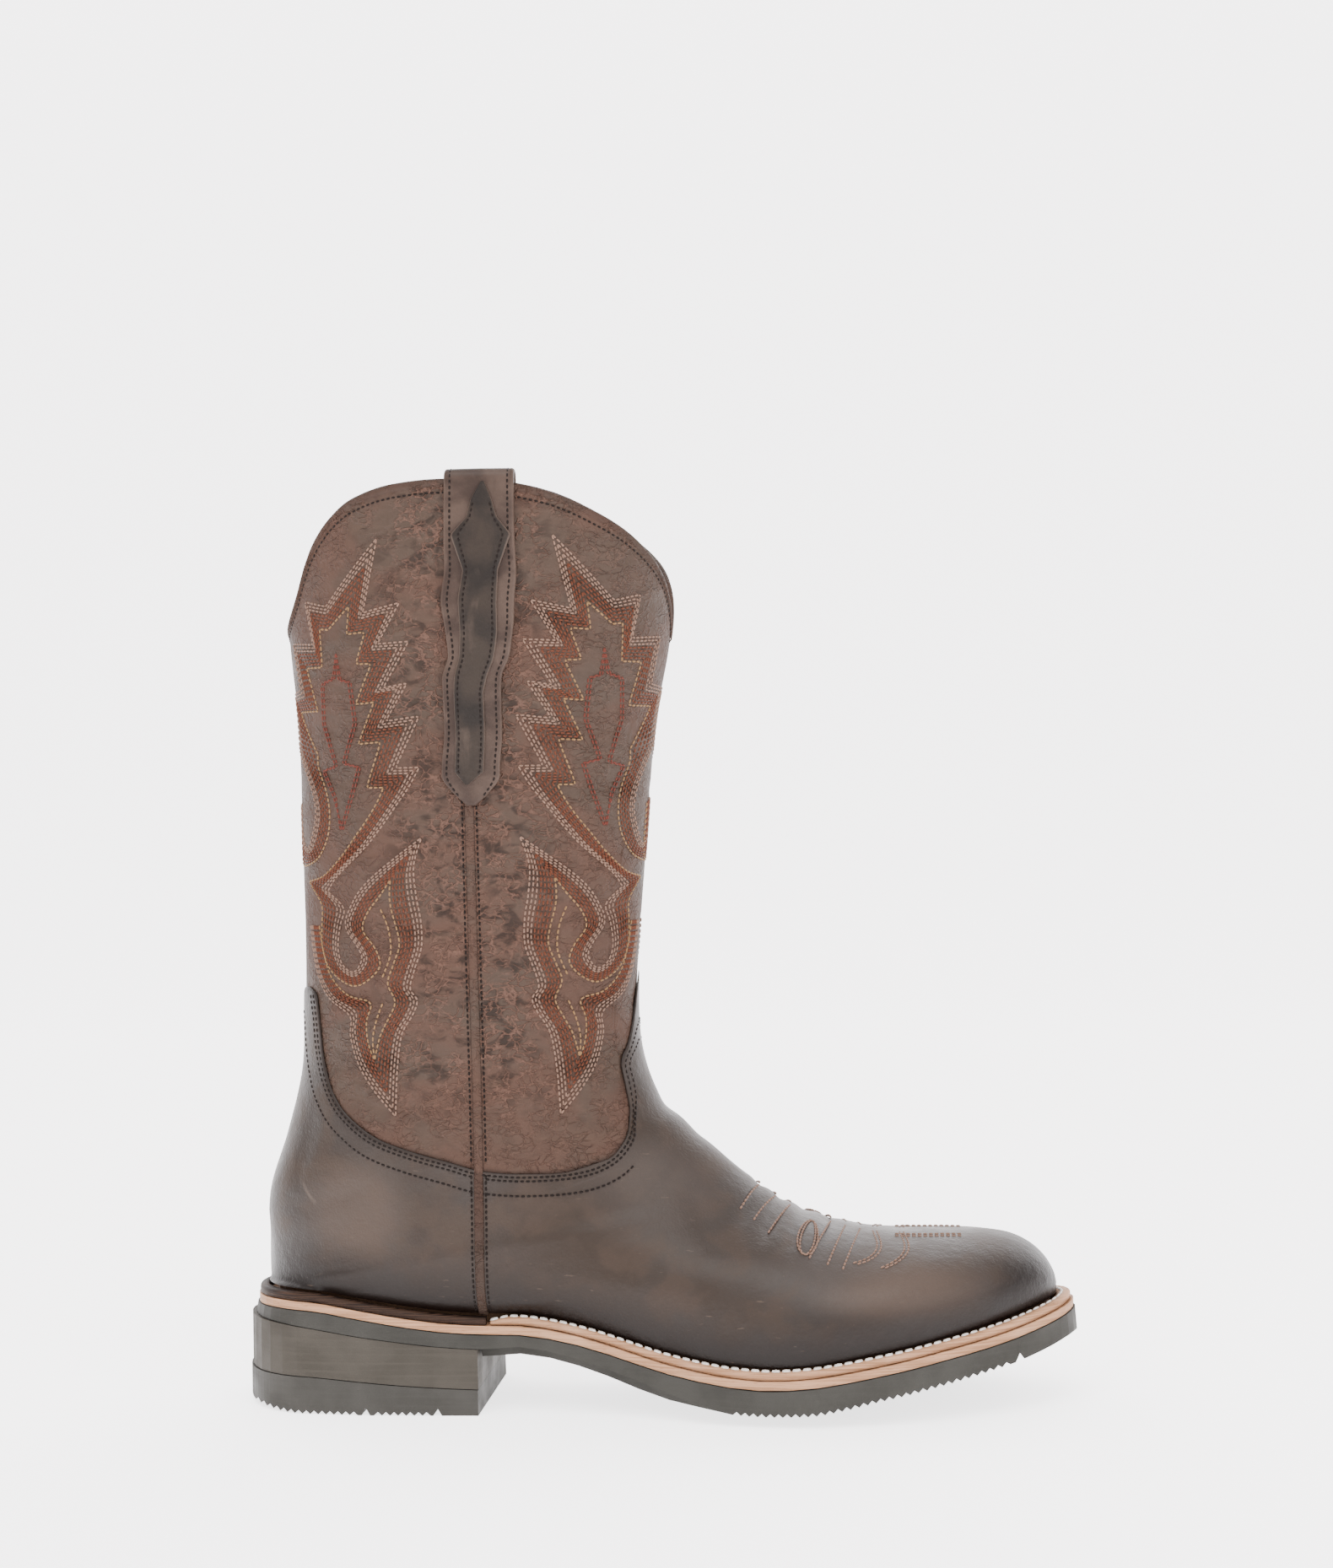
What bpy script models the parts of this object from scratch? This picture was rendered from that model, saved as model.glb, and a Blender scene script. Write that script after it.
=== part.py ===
"""Right barn boot: a pull-on leather boot with a tall scalloped shaft, a stitched welt and a ribbed sole.

The boot stands on z = 0 with its toe towards +X and its inner side towards +Y.
Tables are in millimetres on the pattern boot, which is PATTERN long, and MM turns them into metres.
"""

import math

import bmesh
import bpy
import numpy as np

# Driving sizes in metres
LENGTH = 0.310
BALL_WIDTH = 0.110
PATTERN = 310.0
PATTERN_BALL = 110.0
MM = LENGTH / PATTERN

# Thicknesses and gaps, in pattern millimetres
GAP = 0.3
SIDE_GAP = 0.4
FEATHER_INSET = 5.6
TOE_INSET = 2.4
WELT_INSET = 2.3
RAND_INSET = 1.6
MIDSOLE_INSET = 1.2
OUTSOLE_TOP_INSET = 0.6
HEEL_TOP_INSET = 0.3
INSOLE_PLAY = 1.2
INSOLE_BEVEL = 0.4
FEATHER_RISE = 0.9
STRAP_GAP = 0.9
MIDSOLE = 3.0
WELT = 2.9
INSOLE = 4.6
LINING_FACE = -2.0
RING_BEVEL = 0.8
SKIRT_LIFT = 0.35
MERGE = 4e-5
SHAFT_FACE = -0.4
OVERLAY_FACE = 0.5
STRAP = 1.9
STRAP_OVERLAY = 1.0

OUTER, INNER = -1, 1

# Plan of the sole edge, clockwise from the heel: share of the sole length, share of half the ball width
SOLE_LENGTH = 307.8
SOLE_BACK = -152.8
PLAN = [
    (0.000, 0.00), (0.020, 0.36), (0.062, 0.555), (0.130, 0.625), (0.220, 0.625), (0.300, 0.585),
    (0.390, 0.56), (0.470, 0.57), (0.540, 0.67), (0.610, 0.84), (0.680, 0.955), (0.750, 1.00),
    (0.820, 0.955), (0.885, 0.82), (0.940, 0.62), (0.980, 0.37), (1.000, 0.07), (0.988, -0.18),
    (0.950, -0.42), (0.895, -0.645), (0.825, -0.83), (0.750, -0.955), (0.670, -1.00), (0.590, -0.945),
    (0.510, -0.82), (0.430, -0.70), (0.350, -0.64), (0.270, -0.635), (0.190, -0.64), (0.120, -0.62),
    (0.060, -0.55), (0.020, -0.36),
]

# Side profile of the sole: distance along, top of the outsole, bottom of its edge
PROFILE = [
    (-156, 36.2, 33.3), (-140, 37.3, 32.6), (-127, 37.0, 31.3), (-109, 34.4, 28.6), (-92, 31.6, 26.4),
    (-75, 29.5, 24.6), (-62, 28.8, 24.0), (-49, 28.7, 24.9), (-36, 27.3, 23.3), (-22, 24.4, 19.6),
    (-8, 20.7, 15.5), (5, 17.3, 11.4), (18, 15.0, 6.6), (30, 13.5, 4.6), (42, 12.9, 4.1), (57, 13.7, 4.4),
    (69, 15.3, 6.2), (82, 17.4, 8.9), (94, 19.4, 11.0), (106, 21.7, 13.4), (118, 23.9, 15.8),
    (130, 26.3, 18.3), (143, 29.5, 21.7), (156, 33.4, 26.1),
]

# Shaft rings and heel fans: front x, front z, back x, back z, half width, share where widest,
# power towards the front, power towards the back
SHAFT = [
    (11.2, 350, -138.2, 350.0, 49.5, 0.50, 2.05, 2.00),
    (9.6, 291, -136.4, 291.0, 48.0, 0.50, 2.05, 2.00),
    (2.6, 251, -133.1, 251.0, 45.5, 0.50, 2.05, 2.00),
    (-1.2, 211, -132.5, 211.0, 43.0, 0.50, 2.05, 2.00),
    (-4.4, 176, -132.0, 176.0, 41.0, 0.49, 2.05, 2.00),
    (-6.3, 149, -132.3, 148.0, 39.5, 0.48, 2.05, 2.05),
    (-5.0, 129, -133.3, 124.0, 38.0, 0.48, 2.05, 2.10),
    (0.9, 112, -139.3, 100.0, 37.0, 0.49, 2.00, 2.25),
    (10.5, 101.8, -146.2, 79.0, 36.5, 0.50, 2.00, 2.60),
    (20.4, 92.8, -147.3, 60.0, 36.5, 0.52, 2.00, 2.95),
    (29.5, 84.8, -146.8, 44.2, 36.8, 0.54, 2.00, 3.30),
]

# Foot hoops from heel to toe: ridge x, ridge z, feather x, half width outer, inner, share where widest,
# rise of the bulge below, power above, power below
FOOT = [
    (35.0, 80.6, -145.6, 37.2, 36.8, 0.56, 1.75, 2.00, 3.3),
    (39.5, 77.4, -141.8, 37.8, 37.2, 0.58, 1.58, 2.00, 3.1),
    (43.5, 74.5, -134.5, 37.4, 37.0, 0.60, 1.40, 2.00, 2.8),
    (47.5, 72.0, -121.0, 38.0, 37.4, 0.62, 1.22, 2.00, 2.45),
    (51.5, 70.0, -100.0, 38.9, 38.2, 0.63, 1.08, 2.00, 2.2),
    (56.0, 68.0, -74.0, 40.6, 39.8, 0.62, 1.00, 2.00, 2.05),
    (60.5, 66.2, -46.0, 43.2, 42.2, 0.58, 0.95, 2.05, 2.0),
    (65.5, 64.6, -18.0, 46.4, 44.8, 0.50, 0.95, 2.10, 2.0),
    (71.5, 63.0, 9.0, 49.0, 47.0, 0.40, 1.00, 2.15, 2.0),
    (78.5, 61.6, 34.0, 50.6, 49.0, 0.30, 1.10, 2.20, 2.0),
    (87.0, 60.9, 58.0, 50.6, 49.9, 0.24, 1.20, 2.25, 2.0),
    (97.0, 60.7, 80.0, 48.6, 49.8, 0.22, 1.30, 2.30, 2.0),
    (108.5, 60.6, 99.0, 43.6, 46.4, 0.22, 1.30, 2.30, 2.0),
    (120.0, 60.1, 115.0, 37.0, 40.6, 0.24, 1.20, 2.30, 2.0),
    (130.5, 58.6, 128.5, 28.6, 32.4, 0.27, 1.15, 2.30, 2.0),
    (138.0, 55.2, 137.4, 20.6, 24.3, 0.32, 1.15, 2.25, 2.0),
    (143.1, 50.6, 142.8, 13.5, 16.1, 0.38, 1.20, 2.20, 2.0),
    (146.1, 45.6, 145.9, 6.6, 7.9, 0.45, 2.00, 2.10, 2.0),
    (147.2, 41.4, 147.0, 0.0, 0.0, 0.50, 2.00, 2.00, 2.0),
]

# Grid lines of the upper, each from a fan row on the front or ridge to a fan row on the back or feather
GRID = [
    (0.0, 0.0), (1.0, 1.0), (2.0, 2.2), (3.0, 3.4), (4.0, 4.6), (5.0, 5.8), (6.0, 7.0), (6.9, 8.0), (7.7, 9.0),
    (8.5, 10.0), (9.1, 11.5), (9.75, 13.0), (10.5, 14.1), (11.3, 15.0), (12.2, 15.8), (13.2, 16.6),
    (14.4, 17.4), (15.7, 18.2), (17.1, 19.0), (18.5, 19.8), (19.8, 20.6), (21.0, 21.4), (22.1, 22.3),
    (23.1, 23.2), (24.0, 24.0), (25.0, 25.0), (26.0, 26.0), (27.0, 27.0), (28.0, 28.0), (29.0, 29.0),
]
HEEL_LINE = 9
SMOOTHING = 2
UPRIGHT = 6.0
TURNS = (0.0, 0.075, 0.155, 0.235, 0.315, 0.395, 0.475, 0.555, 0.63, 0.70, 0.765, 0.825, 0.88, 0.93, 0.97, 1.0)
SHAFT_STEPS = 15
HEEL_STEPS = 6
HOOPS = (
    0.6, 1.3, 2.0, 2.8, 3.6, 4.4, 5.2, 6.0, 6.8, 7.6, 8.4, 9.2, 10.0, 10.8, 11.5, 12.2, 12.9, 13.6,
    14.3, 15.0, 15.7, 16.4, 17.2, 18.0, 19.0, 20.0,
)
HEEL_ROW = len(SHAFT) - 1
TOE_ROW = HEEL_ROW + len(FOOT)

# Scalloped collar: share of the way round from back to front, height
COLLAR = [
    (0.000, 287.0), (0.040, 288.5), (0.080, 291.0), (0.120, 295.0), (0.155, 301.0), (0.190, 310.5),
    (0.224, 319.0), (0.271, 327.5), (0.316, 333.0), (0.400, 337.6), (0.468, 338.6), (0.530, 338.2),
    (0.586, 336.8), (0.646, 333.8), (0.736, 326.0), (0.789, 320.8), (0.824, 316.8), (0.872, 310.8),
    (0.910, 305.0), (0.940, 299.5), (0.970, 292.5), (1.000, 284.0),
]

# Top edge of counter, vamp and tongue from the back seam to the shaft front: x, z
OVERLAY_EDGE = [
    (-132.4, 153.0), (-129.0, 155.0), (-124.0, 153.0), (-122.6, 144.0), (-121.6, 133.0), (-119.0, 122.0),
    (-114.5, 113.0), (-108.0, 106.5), (-99.6, 101.0), (-85.7, 96.0), (-72.0, 92.2), (-61.6, 89.2),
    (-45.6, 87.8), (-27.0, 88.6), (-16.0, 91.8), (-10.0, 97.5), (-8.0, 105.0), (-9.4, 116.0),
    (-11.2, 124.0), (-10.8, 128.0), (-9.2, 132.0), (-7.6, 140.0), (-6.6, 150.0), (-5.5, 159.0),
]

# Pull strap: height, middle, half width
STRAP_SHAPE = [
    (222.0, -60.6, 1.5), (226.0, -60.6, 6.0), (233.0, -60.6, 10.6), (254.0, -59.4, 10.5), (272.0, -58.0, 10.9),
    (297.0, -56.0, 13.3), (310.0, -55.5, 12.9), (345.0, -55.1, 12.5),
]
STRAP_FOLD = 339.3
STRAP_COLUMNS = 4
STRAP_INSIDE_END = 276.0

# Dark leather shape on the strap: height, front edge, back edge
STRAP_MOTIF = [
    (229.5, -61.3, -62.3), (234.0, -55.7, -66.1), (254.3, -54.9, -65.6), (262.5, -54.6, -65.3),
    (271.2, -52.2, -64.4), (283.8, -49.9, -63.3), (296.4, -49.0, -62.9), (306.3, -48.8, -61.5),
    (319.0, -43.8, -65.4), (337.8, -53.0, -54.0),
]

# Ribbed undersides: where the ribs start and stop, and their pitch and depth
RIB_PITCH = 3.0
RIB_DEPTH = 1.3
BALL_RIBS = (30.0, 129.0)
HEEL_RIBS = (-150.0, -78.0)
HEEL_NOTCHES = (-105.0, -78.5)
TOE_NOTCH = 131.0
NOTCH_DEPTH = 2.8
NOTCH_HALF = 1.6

# Heel and shank: breast position, flare, arch relief under the waist, crown of the ball, top of the cap
BREAST = -63.5
HEEL_FLARE = 0.4
BACK_FLARE = 1.2
CAP_FLARE = 0.5
BACK_BEVEL = 2.2
SHANK_START = -62.7
SHANK_DROP = 3.7
SHANK_INSET = 5.0
FLAT_SHARE = 0.33
BALL_CROWN = 4.2
CAP_TOP = [(-156, 13.7), (-128, 13.3), (-110, 12.0), (-94, 10.7), (-74, 9.5), (-60, 9.0)]


def monotone(points):
    """Smooth curve through (x, y) points without overshoot."""
    xs, ys = np.array(points, float).T
    steps, slopes = np.diff(xs), np.diff(ys) / np.diff(xs)
    rates = np.zeros(len(xs))
    rates[0], rates[-1] = slopes[0], slopes[-1]
    rising = slopes[:-1] * slopes[1:] > 0
    left, right = np.where(rising, slopes[:-1], 1.0), np.where(rising, slopes[1:], 1.0)
    first, second = 2 * steps[1:] + steps[:-1], steps[1:] + 2 * steps[:-1]
    rates[1:-1] = np.where(rising, (first + second) / (first / left + second / right), 0.0)

    def value(at):
        at = np.clip(at, xs[0], xs[-1])
        i = np.clip(np.searchsorted(xs, at, side="right") - 1, 0, len(xs) - 2)
        u = (at - xs[i]) / steps[i]
        bend = u * (1 - u) * steps[i] * ((1 - u) * (rates[i] - slopes[i]) - u * (rates[i + 1] - slopes[i]))
        return ys[i] + u * (ys[i + 1] - ys[i]) + bend

    return value


def through(values):
    """Catmull-Rom curve through values at rows 0, 1, 2 and so on."""
    values = np.array(values, float)
    rates = np.gradient(values)

    def value(row):
        i = np.clip(np.floor(row).astype(int), 0, len(values) - 2)
        u = row - i
        a, b = values[i], values[i + 1]
        blend = u * u * (3 - 2 * u)
        return a + blend * (b - a) + u * (1 - u) * ((1 - u) * rates[i] - u * rates[i + 1])

    return value


def closed_spline(points, count=1440):
    """Centripetal Catmull-Rom curve through a closed list of plan points."""
    points = np.array(points, float)
    gaps = np.sqrt(np.linalg.norm(np.roll(points, -1, 0) - points, axis=1))
    knots = np.concatenate([[0], np.cumsum(gaps)])
    u = np.linspace(0, knots[-1], count, endpoint=False)
    i = np.clip(np.searchsorted(knots, u, side="right") - 1, 0, len(points) - 1)
    n = len(points)
    p0, p1, p2, p3 = (points[(i + k) % n] for k in (-1, 0, 1, 2))
    t1, t2 = knots[i], knots[i + 1]
    t0, t3 = t1 - gaps[(i - 1) % n], t2 + gaps[(i + 1) % n]

    def mix(a, b, start, stop):
        share = ((u - start) / (stop - start))[:, None]
        return a + share * (b - a)

    a1, a2, a3 = mix(p0, p1, t0, t1), mix(p1, p2, t1, t2), mix(p2, p3, t2, t3)
    return mix(mix(a1, a2, t0, t2), mix(a2, a3, t1, t3), t1, t2)


def sole_plan():
    half = BALL_WIDTH / MM / 2
    points = closed_spline([(SOLE_BACK + a * SOLE_LENGTH, b * half) for a, b in PLAN])
    along = np.roll(points, -1, 0) - np.roll(points, 1, 0)
    along /= np.linalg.norm(along, axis=1)[:, None]
    return points, np.stack([-along[:, 1], along[:, 0]], 1)


PLAN_POINTS, PLAN_NORMALS = sole_plan()


def ease(value, start, stop):
    u = np.clip((value - start) / (stop - start), 0, 1)
    return u * u * (3 - 2 * u)


def outline(grow):
    """Sole plan moved outwards by a distance, or by a function of x."""
    distance = grow(PLAN_POINTS[:, 0]) if callable(grow) else np.full(len(PLAN_POINTS), float(grow))
    return PLAN_POINTS + PLAN_NORMALS * distance[:, None]


def edge_of(curve, side):
    """y of one side of a closed plan curve as a function of x."""
    curve = np.roll(curve, -curve[:, 0].argmin(), 0)
    tip = curve[:, 0].argmax()
    run = curve[:tip + 1] if side == INNER else np.vstack([curve[:1], curve[tip:][::-1]])
    order = np.argsort(run[:, 0], kind="stable")
    xs, ys = run[order, 0], run[order, 1]
    return lambda x: np.interp(x, xs, ys)


def feather_inset(x):
    """How far the upper stands in from the sole edge."""
    return -FEATHER_INSET - TOE_INSET * ease(x, 100, 150)


deck = monotone([(x, top) for x, top, _ in PROFILE])
sole_edge = monotone([(x, bottom) for x, _, bottom in PROFILE])
cap_top = monotone(CAP_TOP)
FEATHER_LINE = outline(feather_inset)
FEATHER = {side: edge_of(FEATHER_LINE, side) for side in (OUTER, INNER)}
HEEL_POINT = FEATHER_LINE[FEATHER_LINE[:, 0].argmin()]
TOE_POINT = FEATHER_LINE[FEATHER_LINE[:, 0].argmax()]


def seat(x):
    """Height of the upper's lower edge, just above the midsole."""
    return deck(x) + GAP + MIDSOLE + GAP


def feather_level(x):
    """Height where the upper leaves the welt and starts to curve."""
    return seat(x) + WELT + FEATHER_RISE


def middle_y(x):
    """Centre line of the upper, which leans to the inner side at the toe."""
    return HEEL_POINT[1] + (TOE_POINT[1] - HEEL_POINT[1]) * ease(x, 50, TOE_POINT[0])


def fan_columns():
    front_x = [r[0] for r in SHAFT] + [r[0] for r in FOOT]
    front_z = [r[1] for r in SHAFT] + [r[1] for r in FOOT]
    back_x = [r[2] for r in SHAFT] + [r[2] for r in FOOT]
    back_x[HEEL_ROW], back_x[TOE_ROW] = HEEL_POINT[0], TOE_POINT[0]
    back_z = [r[3] for r in SHAFT]
    outer = [r[4] for r in SHAFT] + [r[3] for r in FOOT]
    inner = [r[4] for r in SHAFT] + [r[4] for r in FOOT]
    widest = [r[5] for r in SHAFT] + [r[5] for r in FOOT]
    fit = BALL_WIDTH / MM / PATTERN_BALL
    outer, inner = [w * fit for w in outer], [w * fit for w in inner]
    below = [2.0 for _ in SHAFT[:-3]] + [1.95, 1.88, 1.78] + [r[6] for r in FOOT]
    above = [r[6] for r in SHAFT] + [r[7] for r in FOOT]
    square = [r[7] for r in SHAFT] + [r[8] for r in FOOT]
    lists = (front_x, front_z, back_x, back_z, outer, inner, widest, below, above, square)
    return [through(values) for values in lists]


FRONT_X, FRONT_Z, BACK_X, BACK_Z, OUTER_W, INNER_W, WIDEST, BELOW, ABOVE, SQUARE = fan_columns()


def fan_line(row):
    """Ends of one section of the upper in side view: front or ridge, and back or feather."""
    x = BACK_X(row)
    z = np.where(row <= HEEL_ROW, BACK_Z(np.minimum(row, HEEL_ROW)), feather_level(x))
    return FRONT_X(row), FRONT_Z(row), x, z


def section_width(row, share, side):
    """Half width of the upper at a share of the way from back or feather to front or ridge."""
    x = BACK_X(row)
    foot = np.where(row > HEEL_ROW, np.maximum(side * (FEATHER[side](x) - middle_y(x)), 0.0), 0.0)
    width = np.maximum(OUTER_W(row) if side == OUTER else INNER_W(row), foot)
    peak = WIDEST(row)
    low = np.clip((peak - share) / peak, 0, 1)
    high = np.clip((share - peak) / (1 - peak), 0, 1)
    rise = foot + (width - foot) * np.maximum(1 - low ** SQUARE(row), 0) ** (1 / BELOW(row))
    fall = width * np.maximum(1 - high ** ABOVE(row), 0) ** 0.5
    return np.where(share < peak, rise, fall)


def surface(x, z, side):
    """Points of one side of the upper's pattern surface above side-view points."""
    row, share = locate(x, z, fan_line, TOE_ROW)
    return np.stack([x, section_width(row, share, side) * side + middle_y(x), z], -1)


def locate(x, z, lines, last):
    """Line of a fan, and share of the way along it, at side-view points."""
    low, high = np.zeros(np.shape(x)), np.full(np.shape(x), float(last))
    for _ in range(40):
        row = (low + high) / 2
        fx, fz, qx, qz = lines(row)
        beyond = (fx - qx) * (z - qz) - (fz - qz) * (x - qx) < 0
        low, high = np.where(beyond, row, low), np.where(beyond, high, row)
    fx, fz, qx, qz = lines(low)
    share = ((x - qx) * (fx - qx) + (z - qz) * (fz - qz)) / ((fx - qx) ** 2 + (fz - qz) ** 2)
    return low, np.clip(share, 0, 1)


def half_width(x, z, side):
    return np.abs(surface(np.asarray(x, float), np.asarray(z, float), side)[..., 1])


GRID_FRONT = through([front for front, _ in GRID])
GRID_BACK = through([back for _, back in GRID])


def grid_line(line):
    """Ends of one grid line in side view."""
    fx, fz, _, _ = fan_line(GRID_FRONT(line))
    _, _, qx, qz = fan_line(GRID_BACK(line))
    return fx, fz, qx, qz


def grid_share(line, turn):
    """Share along a grid line: crowded at a rounded end, even where the wall meets the welt."""
    rounded = (1 - np.cos(np.pi * turn)) / 2
    open_end = np.sin(np.pi * turn / 2)
    return rounded + (open_end - rounded) * 0.75 * ease(line, HEEL_LINE, HEEL_LINE + 6)


def collar_lines(turns):
    """Grid line of the collar at each turn."""
    height = monotone(COLLAR)(turns)
    lines = np.linspace(0, 3, 600)
    fx, fz, qx, qz = grid_line(lines)
    share = (1 - np.cos(np.pi * turns)) / 2
    return np.array([np.interp(-z, -(qz + s * (fz - qz)), lines) for z, s in zip(height, share)])


def overlay_lines(turns):
    """Grid line of the overlay's top edge at each turn."""
    edge = np.array(OVERLAY_EDGE, float)
    line, share = locate(edge[:, 0], edge[:, 1], grid_line, len(GRID) - 1)
    turn = np.arccos(1 - 2 * share) / np.pi
    turn[0], turn[-1] = 0.0, 1.0
    turn = np.maximum.accumulate(turn) + np.arange(len(turn)) * 1e-4
    return monotone(np.column_stack([turn / turn[-1], line]))(turns)


def pattern_grid(turns):
    """Grid of one side: shaft, then the overlay down to the heel corner, then hoops to the toe."""
    collar, edge = collar_lines(turns), overlay_lines(turns)
    shaft = [collar + (edge - collar) * k / SHAFT_STEPS for k in range(SHAFT_STEPS + 1)]
    heel = [edge + (HEEL_LINE - edge) * k / HEEL_STEPS for k in range(1, HEEL_STEPS + 1)]
    hoops = [np.full(len(turns), HEEL_LINE + step) for step in HOOPS]
    return np.array(shaft + heel + hoops)


def build_object(name, verts, faces, colour, roughness, metallic=0.0):
    """Mesh object in metres from pattern points, with its own material."""
    mesh = bpy.data.meshes.new(name)
    mesh.from_pydata((np.array(verts) * MM).tolist(), [], [tuple(f) for f in faces])
    tidy = bmesh.new()
    tidy.from_mesh(mesh)
    bmesh.ops.remove_doubles(tidy, verts=tidy.verts, dist=MERGE)
    bmesh.ops.recalc_face_normals(tidy, faces=tidy.faces)
    tidy.to_mesh(mesh)
    tidy.free()
    mesh.shade_smooth()
    mesh.set_sharp_from_angle(angle=math.radians(35))
    material = bpy.data.materials.new(name)
    material.use_nodes = True
    shader = material.node_tree.nodes["Principled BSDF"]
    shader.inputs["Base Color"].default_value = (*colour, 1)
    shader.inputs["Roughness"].default_value = roughness
    shader.inputs["Metallic"].default_value = metallic
    mesh.materials.append(material)
    thing = bpy.data.objects.new(name, mesh)
    bpy.context.scene.collection.objects.link(thing)
    return thing


def build_upper():
    """One hollow wall from a grid on each side, joined at back and front, with a step at the overlay."""
    turns = np.array(TURNS)
    lines = pattern_grid(turns)
    high, wide = lines.shape
    line, turn = lines.ravel(), np.tile(turns, high)
    on_back = (turn < 1e-6) & (line <= HEEL_LINE + 1e-6)
    on_middle = on_back | (turn > 1 - 1e-6) | (line > len(GRID) - 1 - 1e-6)
    fx, fz, qx, qz = grid_line(line)
    share = grid_share(line, turn)
    x, z = qx + share * (fx - qx), qz + share * (fz - qz)
    outer, inner = surface(x, z, OUTER), surface(x, z, INNER)
    outer[on_middle, 1] = middle_y(x[on_middle])
    twin = np.where(on_middle, np.arange(len(line)), np.arange(len(line)) + len(line))
    points = np.vstack([outer, inner])
    tris, levels = [], []
    for i in range(high - 1):
        for j in range(wide - 1):
            a, b = i * wide + j, (i + 1) * wide + j
            for tri in ((a, b, a + 1), (a + 1, b, b + 1)):
                if not all(on_middle[v] for v in tri):
                    tris += [tri, tuple(int(twin[v]) for v in reversed(tri))]
                    levels += [OVERLAY_FACE if i >= SHAFT_STEPS else SHAFT_FACE] * 2
    normals = vertex_normals(points, tris)
    rim = np.tile((turn < 1e-6) & (line >= HEEL_LINE - 1e-6), 2)
    normals[:, 2] *= ease(points[:, 2] - feather_level(points[:, 0]), 0, UPRIGHT)
    normals[:len(line)][on_middle, 1] = 0.0
    normals /= np.linalg.norm(normals, axis=1)[:, None] + 1e-12
    if np.sum(normals * (points - points.mean(0))) < 0:
        normals = -normals
    return terrace(*add_skirt(points, normals, tris, levels, rim))


def add_skirt(points, normals, tris, levels, rim):
    """Carries the lower rim straight down through the welt to the seat."""
    edges = {}
    for tri in tris:
        for a, b in zip(tri, tri[1:] + tri[:1]):
            edges.setdefault((min(a, b), max(a, b)), []).append((a, b))
    lower = {}

    def below(v):
        return lower.setdefault(v, len(points) + len(lower))

    for uses in edges.values():
        a, b = uses[0]
        if len(uses) == 1 and rim[a] and rim[b]:
            tris += [(b, a, below(a)), (b, below(a), below(b))]
            levels += [OVERLAY_FACE] * 2
    source = list(lower)
    dropped = points[source].copy()
    dropped[:, 2] = seat(dropped[:, 0]) + SKIRT_LIFT
    return np.vstack([points, dropped]), np.vstack([normals, normals[source]]), tris, levels


def vertex_normals(points, tris):
    tri = np.array(tris)
    cross = np.cross(points[tri[:, 1]] - points[tri[:, 0]], points[tri[:, 2]] - points[tri[:, 0]])
    normals = np.zeros_like(points)
    for k in range(3):
        np.add.at(normals, tri[:, k], cross)
    normals /= np.linalg.norm(normals, axis=1)[:, None] + 1e-12
    for _ in range(SMOOTHING):
        spread = normals * 2
        for k in range(3):
            np.add.at(spread, tri[:, k], normals[tri[:, (k + 1) % 3]])
        normals = spread / (np.linalg.norm(spread, axis=1)[:, None] + 1e-12)
    return normals


def terrace(points, normals, tris, levels):
    """Thickens a sheet of triangles, with a step in its outer face wherever the level changes."""
    verts, ids, faces = [], {}, []

    def vertex(v, level):
        key = (v, level)
        if key not in ids:
            ids[key] = len(verts)
            verts.append(points[v] + normals[v] * level)
        return ids[key]

    edges, at_corner = {}, {}
    for tri, level in zip(tris, levels):
        faces.append([vertex(v, level) for v in tri])
        faces.append([vertex(v, LINING_FACE) for v in reversed(tri)])
        for a, b in zip(tri, tri[1:] + tri[:1]):
            edges.setdefault((min(a, b), max(a, b)), []).append((a, b, level))
            at_corner.setdefault(a, set()).add(level)

    def ladder(v, low, high):
        return [vertex(v, h) for h in sorted(at_corner[v] | {LINING_FACE}) if low <= h <= high]

    for uses in edges.values():
        a, b, level = max(uses, key=lambda use: use[2])
        low = LINING_FACE if len(uses) == 1 else min(use[2] for use in uses)
        if low < level:
            faces.append(ladder(a, low, level) + ladder(b, low, level)[::-1])
    return verts, faces


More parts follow.
